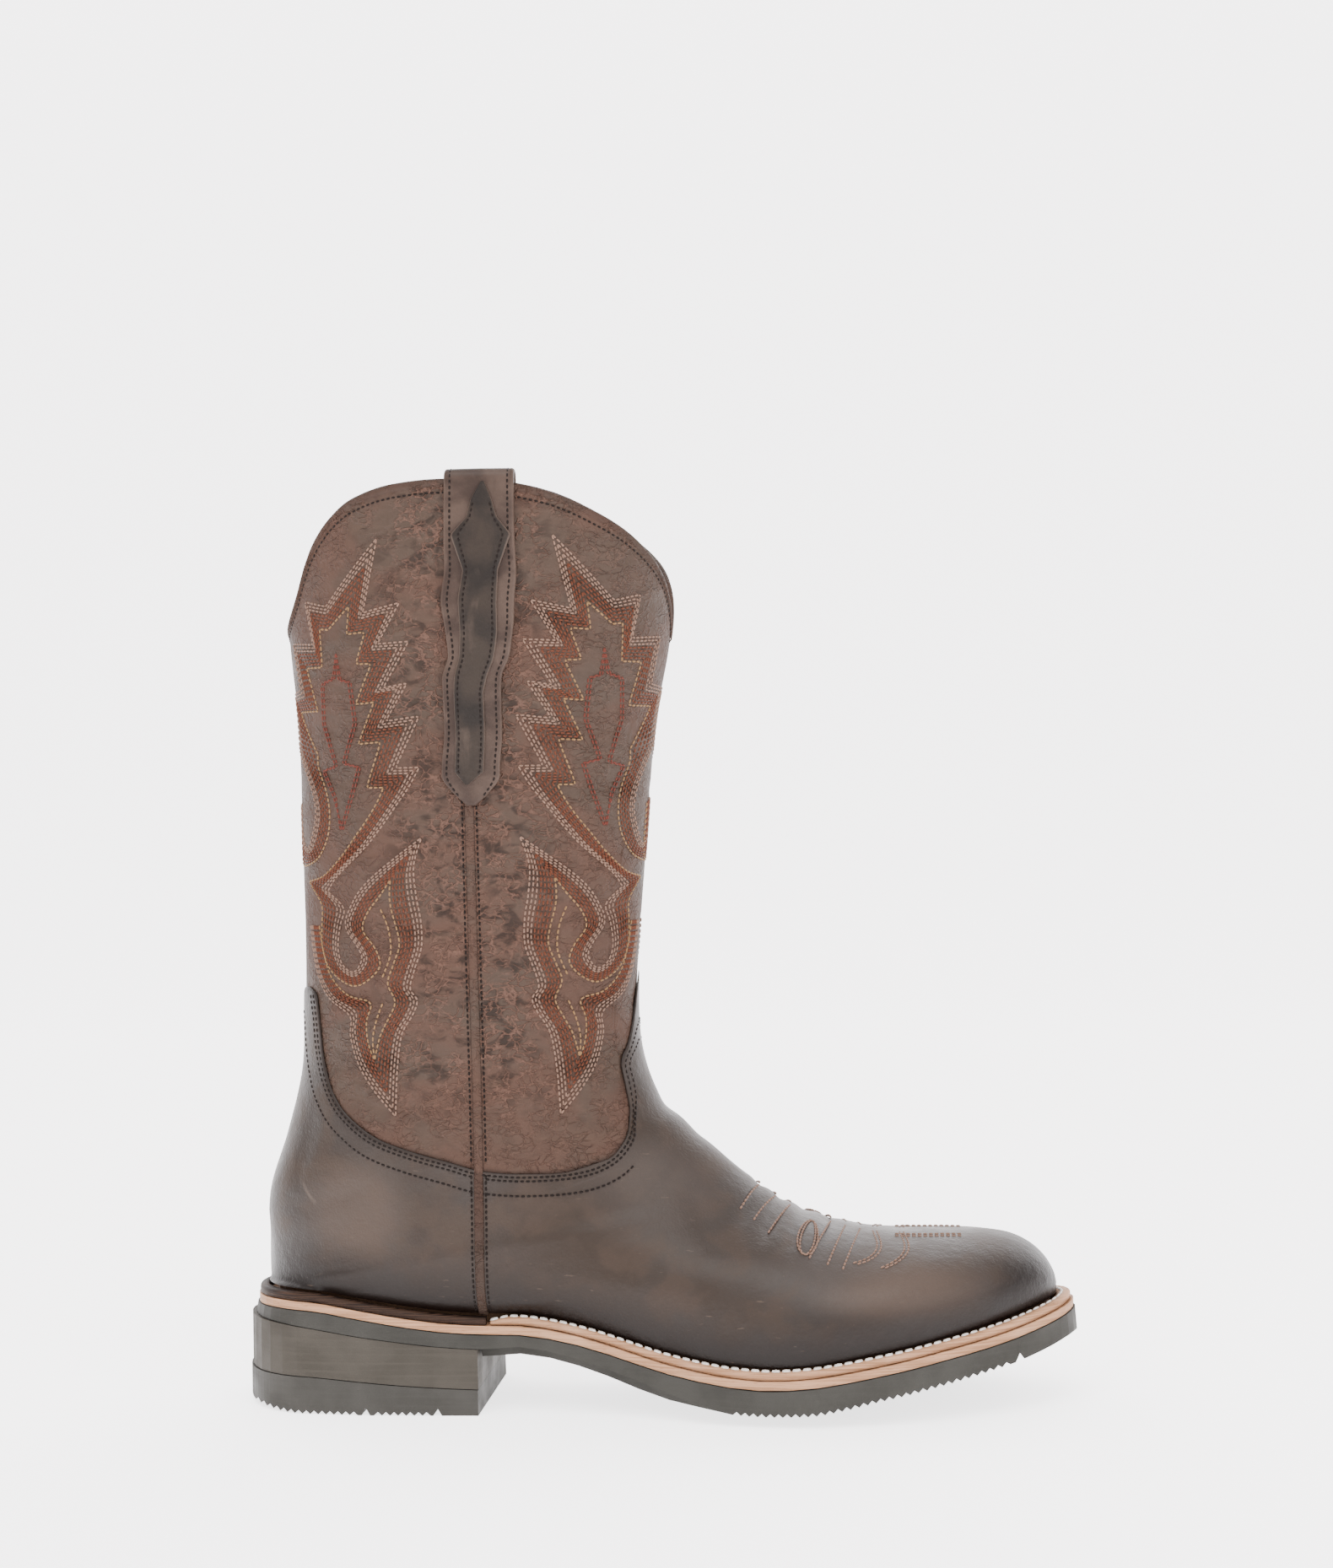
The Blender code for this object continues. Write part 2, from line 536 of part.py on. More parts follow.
def slab(xs, top_plan, bottom_plan, top_z, bottom_z, shares, round_back=True, round_front=True):
    """Solid between a flat-across top and an underside with columns at the given shares of its half width."""
    low, high = (top_plan[:, 0].min(), top_plan[:, 0].max())
    start, stop = (bottom_plan[:, 0].min(), bottom_plan[:, 0].max())
    verts, faces, rows = [], [], []
    sides_top = edge_of(top_plan, OUTER), edge_of(top_plan, INNER)
    sides_low = edge_of(bottom_plan, OUTER), edge_of(bottom_plan, INNER)
    for k, x in enumerate(xs):
        top_x = low + (x - start) / (stop - start) * (high - low)
        tip = (k == 0 and round_back) or (k == len(xs) - 1 and round_front)
        y0, y1 = (side(x) for side in sides_low)
        t0, t1 = (side(top_x) for side in sides_top)
        row = []
        if tip:
            middle = (y0 + y1) / 2
            row = [add(verts, (x, middle, bottom_z(x, 0.0, 0.0)))] * len(shares)
            top = [add(verts, (top_x, (t0 + t1) / 2, top_z(top_x)))] * 2
        else:
            half, middle = (y1 - y0) / 2, (y0 + y1) / 2
            for share in shares:
                across = share(half) if callable(share) else share
                row.append(add(verts, (x, middle + across * half, bottom_z(x, across, half))))
            top = [add(verts, (top_x, t0, top_z(top_x))), add(verts, (top_x, t1, top_z(top_x)))]
        rows.append((row, top))
    for (row, top), (next_row, next_top) in zip(rows, rows[1:]):
        for a, b, c, d in zip(row, row[1:], next_row[1:], next_row):
            faces.append((a, b, c, d))
        faces.append((top[0], next_top[0], next_top[1], top[1]))
        faces.append((row[0], next_row[0], next_top[0], top[0]))
        faces.append((row[-1], top[1], next_top[1], next_row[-1]))
    if not round_back:
        row, top = rows[0]
        faces.append(tuple(row[::-1]) + (top[0], top[1]))
    if not round_front:
        row, top = rows[-1]
        faces.append(tuple(row) + (top[1], top[0]))
    return verts, clean_faces(faces)


def add(verts, point):
    verts.append(tuple(float(c) for c in point))
    return len(verts) - 1


def clean_faces(faces):
    """Drops repeated corners and the faces that collapse."""
    result = []
    for face in faces:
        kept = [v for k, v in enumerate(face) if v != face[k - 1]]
        if len(set(kept)) >= 3:
            result.append(tuple(kept))
    return result


def round_stations(low, high, count, back=True, front=True):
    """Stations that crowd towards the rounded ends."""
    u = np.linspace(0, 1, count)
    if back and front:
        u = (1 - np.cos(np.pi * u)) / 2
    elif back:
        u = 1 - np.cos(np.pi * u / 2)
    elif front:
        u = np.sin(np.pi * u / 2)
    return low + u * (high - low)


def merge_stations(base, extra, clearance):
    kept = [x for x in base if not len(extra) or np.min(np.abs(np.array(extra) - x)) > clearance]
    return np.array(sorted(list(kept) + list(extra)))


def rib_stations(start, stop):
    count = int(round((stop - start) / RIB_PITCH))
    marks = [start + k * RIB_PITCH + part for k in range(count) for part in (0.0, 1.5)]
    return marks + [start + count * RIB_PITCH]


def rib_cut(x, start, stop):
    """Height of the grooves: flats between V cuts."""
    if not start < x < stop:
        return 0.0
    along = (x - start) % RIB_PITCH
    return RIB_DEPTH * max(0.0, 1 - abs(along - RIB_PITCH / 2) / (RIB_PITCH / 2))


def build_outsole():
    """Rubber sole with a ribbed ball, a relieved waist and a notch before the toe."""
    plan = outline(0.0)
    low, high = plan[:, 0].min(), plan[:, 0].max()
    ribs = rib_stations(*BALL_RIBS)
    steps = [SHANK_START - 0.5, SHANK_START, TOE_NOTCH, TOE_NOTCH + NOTCH_HALF, TOE_NOTCH + 2 * NOTCH_HALF]
    xs = merge_stations(round_stations(low, high, 44), ribs + steps, 1.2)

    def inset(half, distance):
        return 1 - min(distance, half * 0.3) / half

    shares = [-1.0, lambda h: -inset(h, SHANK_INSET), lambda h: -inset(h, SHANK_INSET + 0.8), -FLAT_SHARE]
    shares += [FLAT_SHARE, lambda h: inset(h, SHANK_INSET + 0.8), lambda h: inset(h, SHANK_INSET), 1.0]

    def underside(x, across, half):
        z = sole_edge(x)
        crown = BALL_CROWN * ease(x, -25, 25) * (1 - 0.6 * ease(x, 100, 150))
        rim = max(0.0, (abs(across) - FLAT_SHARE) / (1 - FLAT_SHARE)) ** 2
        z -= crown * (1 - rim)
        within = half > 0 and abs(across) < inset(half, SHANK_INSET + 0.4)
        if within and x > SHANK_START - 0.25:
            z -= SHANK_DROP * (1 - ease(x, 0, 20))
        z += rib_cut(x, *BALL_RIBS)
        z += NOTCH_DEPTH * max(0.0, 1 - abs(x - TOE_NOTCH - NOTCH_HALF) / NOTCH_HALF)
        return max(z, 0.0)

    return slab(xs, outline(-OUTSOLE_TOP_INSET), plan, deck, underside, shares)


def heel_flare(x):
    """How far the heel stands out from the sole edge, most at its back."""
    return HEEL_FLARE + BACK_FLARE * ease(-x, 110, 150)


def build_heel_block():
    """Stacked heel between the outsole and its cap, cut square at the breast."""
    upper_plan, lower_plan = outline(-HEEL_TOP_INSET), outline(heel_flare)
    start = lower_plan[:, 0].min()
    xs = round_stations(start, BREAST, 16, front=False)

    def underside(x, across, half):
        return cap_top(x) + GAP

    def top(x):
        return sole_edge(x) - GAP

    return heel_slab(xs, upper_plan, lower_plan, top, underside, [-1.0, 1.0])


def heel_slab(xs, upper_plan, lower_plan, top, underside, shares):
    """Slab that ends at the breast, with its top and bottom starting at their own backs."""
    front = upper_plan[:, 0] <= BREAST
    back = lower_plan[:, 0].min()
    shift = upper_plan[front, 0].min() - back
    moved = upper_plan.copy()
    moved[:, 0] -= shift * np.clip((BREAST - upper_plan[:, 0]) / (BREAST - upper_plan[:, 0].min()), 0, 1)
    return slab(xs, moved, lower_plan, top, underside, shares, round_front=False)


def build_heel_cap():
    """Ribbed rubber cap with two cross notches and a bevelled back."""
    upper_plan, lower_plan = outline(heel_flare), outline(lambda x: heel_flare(x) + CAP_FLARE)
    start = lower_plan[:, 0].min()
    ribs = rib_stations(*HEEL_RIBS)
    notches = [x + part for x in HEEL_NOTCHES for part in (-NOTCH_HALF, 0.0, NOTCH_HALF)]
    ribs = [x for x in ribs if min(abs(x - n) for n in HEEL_NOTCHES) > NOTCH_HALF + 0.6]
    xs = merge_stations(round_stations(start, BREAST, 20, front=False), ribs + notches, 1.0)

    def underside(x, across, half):
        z = BACK_BEVEL * ease(-x, 126, 156) ** 1.5
        near = [abs(x - n) for n in HEEL_NOTCHES]
        if min(near) <= NOTCH_HALF + 0.01:
            return z + NOTCH_DEPTH * (1 - min(min(near) / NOTCH_HALF, 1.0))
        return z + rib_cut(x, *HEEL_RIBS)

    return heel_slab(xs, upper_plan, lower_plan, cap_top, underside, [-1.0, -0.6, 0.6, 1.0])


def build_midsole():
    """Leather slip between the outsole and the welt."""
    plan = outline(-MIDSOLE_INSET)
    xs = round_stations(plan[:, 0].min(), plan[:, 0].max(), 44)

    def underside(x, across, half):
        return deck(x) + GAP

    def top(x):
        return deck(x) + GAP + MIDSOLE

    return slab(xs, plan, plan, top, underside, [-1.0, 1.0])


def build_insole():
    """Insole board inside the lower rim of the upper."""
    low = outline(lambda x: feather_inset(x) + LINING_FACE - INSOLE_PLAY)
    high = outline(lambda x: feather_inset(x) + LINING_FACE - INSOLE_PLAY - INSOLE_BEVEL)
    xs = round_stations(low[:, 0].min(), low[:, 0].max(), 36)

    def underside(x, across, half):
        return seat(x)

    def top(x):
        return seat(x) + INSOLE

    return slab(xs, high, low, top, underside, [-1.0, 1.0])


def ring_path(front):
    """Indices of the plan curve for the welt round the toe, or for the rand round the heel."""
    xs = PLAN_POINTS[:, 0]
    ids = np.where(xs > BREAST + 3.5)[0] if front else np.where(xs < BREAST + 3.0)[0]
    gap = np.where(np.diff(ids) > 1)[0]
    return np.roll(ids, -(gap[0] + 1)) if len(gap) else ids


def ring(front, outer_grow, thickness, count):
    """Strip with a bevelled outer edge that follows the plan between the upper and the sole edge."""
    ids = ring_path(front)
    ids = ids[np.linspace(0, len(ids) - 1, count).astype(int)]
    near = outline(lambda x: feather_inset(x) + OVERLAY_FACE + SIDE_GAP)
    far = outline(outer_grow)
    verts, rows = [], []
    for k in ids:
        a, b = near[k], far[k]
        bevel = b + (a - b) / np.linalg.norm(a - b) * RING_BEVEL
        thick = thickness(a[0])
        corners = [(a, 0.0), (b, 0.0), (b, thick - RING_BEVEL), (bevel, thick), (a, thick)]
        rows.append([add(verts, (*spot, seat(spot[0]) + rise)) for spot, rise in corners])
    return verts, loft_faces(rows)


def build_welt():
    """Stitched welt from the breast round the toe, skived thin at its ends."""
    def thickness(x):
        return WELT * (0.45 + 0.55 * ease(x, BREAST + 3.0, BREAST + 12.0))

    return ring(True, -WELT_INSET, thickness, 64)


def build_rand():
    """Strip that closes the heel seat behind the ends of the welt."""
    return ring(False, -RAND_INSET, lambda x: WELT, 30)


def strap_path():
    """Rows down the outside, over the fold and down the inside: height, offset of the middle, turn angle."""
    outside = SHAFT_FACE + STRAP_GAP + STRAP / 2
    inside = LINING_FACE - STRAP_GAP - STRAP / 2
    middle, radius = (outside + inside) / 2, (outside - inside) / 2
    rows = [(z, outside, 0.0) for z in (222, 226, 233, 243, 254, 263, 272, 284, 297, 310, 322, 332)]
    for k in range(7):
        angle = math.pi * k / 6
        rows.append((STRAP_FOLD + radius * math.sin(angle), middle + radius * math.cos(angle), angle))
    rows += [(z, inside, math.pi) for z in (330, 316, 302, 289, STRAP_INSIDE_END)]
    return rows


def strap_solid(side):
    """Pull strap that folds over the collar and runs down both faces of the wall."""
    middle_x = monotone([(z, m) for z, m, _ in STRAP_SHAPE])
    half = monotone([(z, h) for z, _, h in STRAP_SHAPE])
    verts, rows = [], []
    for z, offset, angle in strap_path():
        xs = middle_x(z) + half(z) * np.linspace(-1, 1, STRAP_COLUMNS)
        wall = half_width(xs, np.full(STRAP_COLUMNS, min(z, STRAP_FOLD)), side)
        row = []
        for face in (1, -1):
            y = wall + offset + face * STRAP / 2 * math.cos(angle)
            height = z + face * STRAP / 2 * math.sin(angle)
            line = [add(verts, (x, side * v, height)) for x, v in zip(xs, y)]
            row.append(line)
        rows.append(row[0] + row[1][::-1])
    return verts, loft_faces(rows)


def loft_faces(rows):
    faces = []
    for row, following in zip(rows, rows[1:]):
        for k in range(len(row)):
            j = (k + 1) % len(row)
            faces.append((row[k], row[j], following[j], following[k]))
    faces.append(tuple(rows[0][::-1]))
    faces.append(tuple(rows[-1]))
    return faces


def motif_solid(side):
    """Thin shaped leather on the outer face of the strap."""
    near = SHAFT_FACE + STRAP_GAP + STRAP + GAP
    front = monotone([(z, a) for z, a, _ in STRAP_MOTIF])
    back = monotone([(z, b) for z, _, b in STRAP_MOTIF])
    verts, rows = [], []
    for z in (229.5, 234, 242, 251, 262.5, 271.2, 283.8, 296.4, 306.3, 312, 319, 324, 331, 337.8):
        xs = np.linspace(back(z), front(z), 4)
        wall = half_width(xs, np.full(4, z), side)
        line = [add(verts, (x, side * (w + near + STRAP_OVERLAY), z)) for x, w in zip(xs, wall)]
        line += [add(verts, (x, side * (w + near), z)) for x, w in zip(xs[::-1], wall[::-1])]
        rows.append(line)
    return verts, loft_faces(rows)


def clear_scene():
    for thing in list(bpy.data.objects):
        bpy.data.objects.remove(thing, do_unlink=True)


def build_boot():
    clear_scene()
    build_object("upper", *build_upper(), (0.20, 0.12, 0.09), 0.55)
    build_object("outsole", *build_outsole(), (0.13, 0.13, 0.12), 0.8)
    build_object("heel_block", *build_heel_block(), (0.17, 0.16, 0.14), 0.75)
    build_object("heel_cap", *build_heel_cap(), (0.11, 0.11, 0.10), 0.8)
    build_object("midsole", *build_midsole(), (0.70, 0.45, 0.25), 0.7)
    build_object("welt", *build_welt(), (0.74, 0.48, 0.28), 0.7)
    build_object("heel_rand", *build_rand(), (0.10, 0.06, 0.04), 0.6)
    build_object("insole", *build_insole(), (0.45, 0.30, 0.18), 0.7)
    for side, name in ((OUTER, "outer"), (INNER, "inner")):
        build_object(f"pull_strap_{name}", *strap_solid(side), (0.16, 0.08, 0.05), 0.55)
        build_object(f"strap_overlay_{name}", *motif_solid(side), (0.06, 0.07, 0.08), 0.5)


build_boot()
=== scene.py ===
"""Looks of the right barn boot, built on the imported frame. Pattern sizes are millimetres on a 310 mm boot."""

import math

import bpy
import numpy as np
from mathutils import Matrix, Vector


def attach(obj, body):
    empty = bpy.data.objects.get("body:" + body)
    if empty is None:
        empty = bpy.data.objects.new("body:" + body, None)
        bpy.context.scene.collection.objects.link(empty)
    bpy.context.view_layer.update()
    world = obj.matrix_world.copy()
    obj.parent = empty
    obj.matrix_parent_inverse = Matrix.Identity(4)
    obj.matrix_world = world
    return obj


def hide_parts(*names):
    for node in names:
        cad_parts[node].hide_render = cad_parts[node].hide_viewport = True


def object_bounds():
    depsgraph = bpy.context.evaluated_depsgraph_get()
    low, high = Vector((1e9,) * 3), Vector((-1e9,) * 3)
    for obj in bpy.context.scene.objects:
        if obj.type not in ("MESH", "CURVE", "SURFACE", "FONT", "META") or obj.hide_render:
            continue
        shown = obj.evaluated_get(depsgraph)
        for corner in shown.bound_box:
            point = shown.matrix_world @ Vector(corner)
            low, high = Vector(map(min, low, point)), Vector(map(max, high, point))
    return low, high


# The frame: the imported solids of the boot, whose length sets the scale of the pattern.
# Everything below is drawn on a pattern boot and turned into metres by MM.
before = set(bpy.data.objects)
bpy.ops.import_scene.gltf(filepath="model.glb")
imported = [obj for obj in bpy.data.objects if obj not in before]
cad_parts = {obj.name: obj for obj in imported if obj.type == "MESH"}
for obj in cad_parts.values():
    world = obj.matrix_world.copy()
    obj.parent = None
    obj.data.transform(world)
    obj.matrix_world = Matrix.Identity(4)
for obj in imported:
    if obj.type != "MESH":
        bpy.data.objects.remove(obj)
cad_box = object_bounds()
PATTERN_LENGTH = 309.92
MM = (cad_box[1][0] - cad_box[0][0]) / PATTERN_LENGTH
PATTERN_WIDTH = (cad_box[1][1] - cad_box[0][1]) / MM
OUTER, INNER = -1, 1
STUDIO = (0.232, 0.201, 0.180)


def finish(name, base, roughness, coat=0.0):
    """New leather, rubber or thread with its shader and the boot's own coordinates, ready for noise."""
    material = bpy.data.materials.new(name)
    material.use_nodes = True
    nodes, links = material.node_tree.nodes, material.node_tree.links
    shader = nodes["Principled BSDF"]
    shader.inputs["Base Color"].default_value = (*(share * c for share, c in zip(STUDIO, base)), 1)
    shader.inputs["Roughness"].default_value = roughness
    shader.inputs["Specular IOR Level"].default_value = 0.13
    shader.inputs["Coat Weight"].default_value = coat
    shader.inputs["Coat Roughness"].default_value = 0.35
    place = nodes.new("ShaderNodeTexCoord").outputs["Object"]
    return material, nodes, links, shader, place


def stretched(nodes, links, place, scale):
    """The boot's coordinates stretched along x, y or z, for grain that runs one way."""
    mapping = nodes.new("ShaderNodeMapping")
    mapping.inputs["Scale"].default_value = scale
    links.new(place, mapping.inputs["Vector"])
    return mapping.outputs["Vector"]


def noise(nodes, links, place, scale, detail=4.0, warp=0.0):
    field = nodes.new("ShaderNodeTexNoise")
    field.inputs["Scale"].default_value = scale
    field.inputs["Detail"].default_value = detail
    field.inputs["Distortion"].default_value = warp
    links.new(place, field.inputs["Vector"])
    return field.outputs["Fac"]


def band(nodes, links, value, low, high, start=0.0, stop=1.0):
    """Smooth step of a value from start to stop."""
    step = nodes.new("ShaderNodeMapRange")
    step.interpolation_type = "SMOOTHSTEP"
    for socket, number in zip(step.inputs[1:5], (low, high, start, stop)):
        socket.default_value = number
    links.new(value, step.inputs[0])
    return step.outputs[0]


def mixed(nodes, links, share, first, second):
    """Blend of two colours, each a socket or three numbers, by a socket or a number."""
    blend = nodes.new("ShaderNodeMix")
    blend.data_type = "RGBA"
    for socket, source in zip((blend.inputs[0], blend.inputs[6], blend.inputs[7]), (share, first, second)):
        if isinstance(source, bpy.types.NodeSocket):
            links.new(source, socket)
        else:
            under_light = tuple(s * c for s, c in zip(STUDIO, source)) if isinstance(source, tuple) else None
            socket.default_value = (*under_light, 1) if under_light else source
    return blend.outputs[2]


def product(nodes, links, first, second, operation="MULTIPLY"):
    sum_node = nodes.new("ShaderNodeMath")
    sum_node.operation = operation
    for socket, source in zip(sum_node.inputs, (first, second)):
        if isinstance(source, bpy.types.NodeSocket):
            links.new(source, socket)
        else:
            socket.default_value = source
    return sum_node.outputs[0]


def raised(nodes, links, shader, layers):
    """Chains bump layers, each a height socket with its depth in metres."""
    normal = None
    for height, depth in layers:
        bump = nodes.new("ShaderNodeBump")
        bump.inputs["Distance"].default_value = depth
        bump.inputs["Strength"].default_value = 1.0
        links.new(height, bump.inputs["Height"])
        if normal:
            links.new(normal, bump.inputs["Normal"])
        normal = bump.outputs["Normal"]
    links.new(normal, shader.inputs["Normal"])


def measure(nodes, name):
    """Reads a number that the mesh carries at each point."""
    reader = nodes.new("ShaderNodeAttribute")
    reader.attribute_name = name
    return reader.outputs["Fac"]


def sheet_mesh(name, points, quads, material, replaced=(), marks=None):
    """Smooth mesh from pattern points, riding on the boot, with named numbers at its points."""
    mesh = bpy.data.meshes.new(name)
    mesh.from_pydata((np.asarray(points) * MM).tolist(), [], [tuple(int(v) for v in q) for q in quads])
    for mark, values in (marks or {}).items():
        mesh.attributes.new(mark, "FLOAT", "POINT").data.foreach_set("value", np.asarray(values, np.float32))
    mesh.shade_smooth()
    mesh.materials.append(material)
    piece = bpy.data.objects.new(name, mesh)
    bpy.context.scene.collection.objects.link(piece)
    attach(piece, "root")
    for node in replaced:
        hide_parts(node)
    return piece


def ease(value, start, stop):
    u = np.clip((value - start) / (stop - start), 0, 1)
    return u * u * (3 - 2 * u)


def monotone(points):
    """Smooth curve through (x, y) points without overshoot."""
    xs, ys = np.array(points, float).T
    steps, slopes = np.diff(xs), np.diff(ys) / np.diff(xs)
    rates = np.zeros(len(xs))
    rates[0], rates[-1] = slopes[0], slopes[-1]
    rising = slopes[:-1] * slopes[1:] > 0
    left, right = np.where(rising, slopes[:-1], 1.0), np.where(rising, slopes[1:], 1.0)
    first, second = 2 * steps[1:] + steps[:-1], steps[1:] + 2 * steps[:-1]
    rates[1:-1] = np.where(rising, (first + second) / (first / left + second / right), 0.0)

    def value(at):
        at = np.clip(at, xs[0], xs[-1])
        i = np.clip(np.searchsorted(xs, at, side="right") - 1, 0, len(xs) - 2)
        u = (at - xs[i]) / steps[i]
        bend = u * (1 - u) * steps[i] * ((1 - u) * (rates[i] - slopes[i]) - u * (rates[i + 1] - slopes[i]))
        return ys[i] + u * (ys[i + 1] - ys[i]) + bend

    return value


# Outsole: one moulded piece of grey rubber with a ribbed tread, cemented under the midsole.
# Its plan and its side profile are the lines that every layer above it follows.
SOLE_LENGTH = 307.8
SOLE_BACK = -152.8
PLAN = [
    (0.000, 0.00), (0.020, 0.36), (0.062, 0.555), (0.130, 0.625), (0.220, 0.625), (0.300, 0.585),
    (0.390, 0.56), (0.470, 0.57), (0.540, 0.67), (0.610, 0.84), (0.680, 0.955), (0.750, 1.00),
    (0.820, 0.955), (0.885, 0.82), (0.940, 0.62), (0.980, 0.37), (1.000, 0.07), (0.988, -0.18),
    (0.950, -0.42), (0.895, -0.645), (0.825, -0.83), (0.750, -0.955), (0.670, -1.00), (0.590, -0.945),
    (0.510, -0.82), (0.430, -0.70), (0.350, -0.64), (0.270, -0.635), (0.190, -0.64), (0.120, -0.62),
    (0.060, -0.55), (0.020, -0.36),
]
PROFILE = [
    (-156, 36.2, 33.3), (-140, 37.3, 32.6), (-127, 37.0, 31.3), (-109, 34.4, 28.6), (-92, 31.6, 26.4),
    (-75, 29.5, 24.6), (-62, 28.8, 24.0), (-49, 28.7, 24.9), (-36, 27.3, 23.3), (-22, 24.4, 19.6),
    (-8, 20.7, 15.5), (5, 17.3, 11.4), (18, 15.0, 6.6), (30, 13.5, 4.6), (42, 12.9, 4.1), (57, 13.7, 4.4),
    (69, 15.3, 6.2), (82, 17.4, 8.9), (94, 19.4, 11.0), (106, 21.7, 13.4), (118, 23.9, 15.8),
    (130, 26.3, 18.3), (143, 29.5, 21.7), (156, 33.4, 26.1),
]
deck = monotone([(x, top) for x, top, _ in PROFILE])


def closed_spline(points, count=1440):
    """Centripetal Catmull-Rom curve through a closed list of plan points."""
    points = np.array(points, float)
    gaps = np.sqrt(np.linalg.norm(np.roll(points, -1, 0) - points, axis=1))
    knots = np.concatenate([[0], np.cumsum(gaps)])
    u = np.linspace(0, knots[-1], count, endpoint=False)
    i = np.clip(np.searchsorted(knots, u, side="right") - 1, 0, len(points) - 1)
    n = len(points)
    p0, p1, p2, p3 = (points[(i + k) % n] for k in (-1, 0, 1, 2))
    t1, t2 = knots[i], knots[i + 1]
    t0, t3 = t1 - gaps[(i - 1) % n], t2 + gaps[(i + 1) % n]

    def mix(a, b, start, stop):
        share = ((u - start) / (stop - start))[:, None]
        return a + share * (b - a)

    a1, a2, a3 = mix(p0, p1, t0, t1), mix(p1, p2, t1, t2), mix(p2, p3, t2, t3)
    return mix(mix(a1, a2, t0, t2), mix(a2, a3, t1, t3), t1, t2)


PLAN_POINTS = closed_spline([(SOLE_BACK + a * SOLE_LENGTH, b * PATTERN_WIDTH / 2) for a, b in PLAN])
along = np.roll(PLAN_POINTS, -1, 0) - np.roll(PLAN_POINTS, 1, 0)
along /= np.linalg.norm(along, axis=1)[:, None]
PLAN_NORMALS = np.stack([-along[:, 1], along[:, 0]], 1)


def outline(grow):
    """Sole plan moved outwards by a distance, or by a function of x."""
    distance = grow(PLAN_POINTS[:, 0]) if callable(grow) else np.full(len(PLAN_POINTS), float(grow))
    return PLAN_POINTS + PLAN_NORMALS * distance[:, None]


def rubber(name, base, stripe):
    """Moulded rubber: faint flow marks along the edge, dusty rubs and a fine matt skin."""
    material, nodes, links, shader, place = finish(name, base, 0.62)
    flow = noise(nodes, links, stretched(nodes, links, place, (12, 12, 400)), 2.0, 5.0)
    dust = noise(nodes, links, place, 60.0, 6.0)
    dark, pale = tuple(c * 0.9 for c in base), tuple(c * 1.12 for c in base)
    tone = mixed(nodes, links, band(nodes, links, dust, 0.35, 0.7), dark, pale)
    tone = mixed(nodes, links, product(nodes, links, band(nodes, links, flow, 0.45, 0.7), stripe), tone, pale)
    links.new(tone, shader.inputs["Base Color"])
    links.new(band(nodes, links, dust, 0.3, 0.7, 0.72, 0.5), shader.inputs["Roughness"])
    skin = noise(nodes, links, place, 2500.0, 2.0)
    raised(nodes, links, shader, [(flow, 0.00012), (skin, 0.00005)])
    return material


OUTSOLE_GREY = (0.128, 0.140, 0.137)
for node, base in (("outsole", OUTSOLE_GREY),):
    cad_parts[node].data.materials.clear()
    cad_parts[node].data.materials.append(rubber("outsole_rubber", base, 0.3))

# Heel: a stacked block of dense grey-brown rubber on a darker ribbed cap, nailed under the outsole.
# Fine level lines run round the block where its layers meet.
HEEL_GREY = (0.168, 0.168, 0.152)
CAP_GREY = (0.148, 0.160, 0.158)
for node, base, stripe in (("heel_block", HEEL_GREY, 0.8), ("heel_cap", CAP_GREY, 0.4)):
    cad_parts[node].data.materials.clear()
    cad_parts[node].data.materials.append(rubber(node + "_rubber", base, stripe))

# Midsole: a natural vegetable-tanned leather slip, trimmed and waxed at its edge.
# The edge shows pale peach fibre with long darker streaks and a few scorched scuffs from the trimmer.
TAN = (0.68, 0.43, 0.25)


def tan_leather(name):
    material, nodes, links, shader, place = finish(name, TAN, 0.55)
    streak = noise(nodes, links, stretched(nodes, links, place, (25, 25, 900)), 2.0, 6.0, 0.4)
    patch = noise(nodes, links, place, 45.0, 4.0)
    fleck = noise(nodes, links, stretched(nodes, links, place, (200, 200, 900)), 2.0, 3.0)
    tone = mixed(nodes, links, band(nodes, links, streak, 0.35, 0.65), (1.05, 0.62, 0.36), (1.60, 1.02, 0.66))
    tone = mixed(nodes, links, band(nodes, links, patch, 0.5, 0.75, 0.0, 0.6), tone, (1.80, 1.22, 0.84))
    tone = mixed(nodes, links, band(nodes, links, fleck, 0.62, 0.72, 0.0, 0.55), tone, (0.70, 0.40, 0.22))
    links.new(tone, shader.inputs["Base Color"])
    raised(nodes, links, shader, [(streak, 0.00025), (fleck, 0.00012)])
    return material


tan = tan_leather("tan_edge_leather")
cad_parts["midsole"].data.materials.clear()
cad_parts["midsole"].data.materials.append(tan)

# Welt: a strip of the same tan leather that lies on the midsole from the breast round the toe.
# One heavy row of white waxed thread locks it to the midsole; the loose fuzz beside its holes is not drawn.
GAP = 0.3
MIDSOLE = 3.0
WELT = 2.9
FEATHER_RISE = 0.9
SIDE_GAP = 0.4
LINING_FACE, SHAFT_FACE, OVERLAY_FACE = -2.0, -0.4, 0.5
BREAST = -63.5
WELT_EDGE = -2.3
RAND_EDGE = -1.6
WELT_PITCH = 3.7


def feather_inset(x):
    """How far the upper stands in from the sole edge."""
    return -5.6 - 2.4 * ease(x, 100, 150)


def seat(x):
    return deck(x) + GAP + MIDSOLE + GAP


def feather_level(x):
    return seat(x) + WELT + FEATHER_RISE


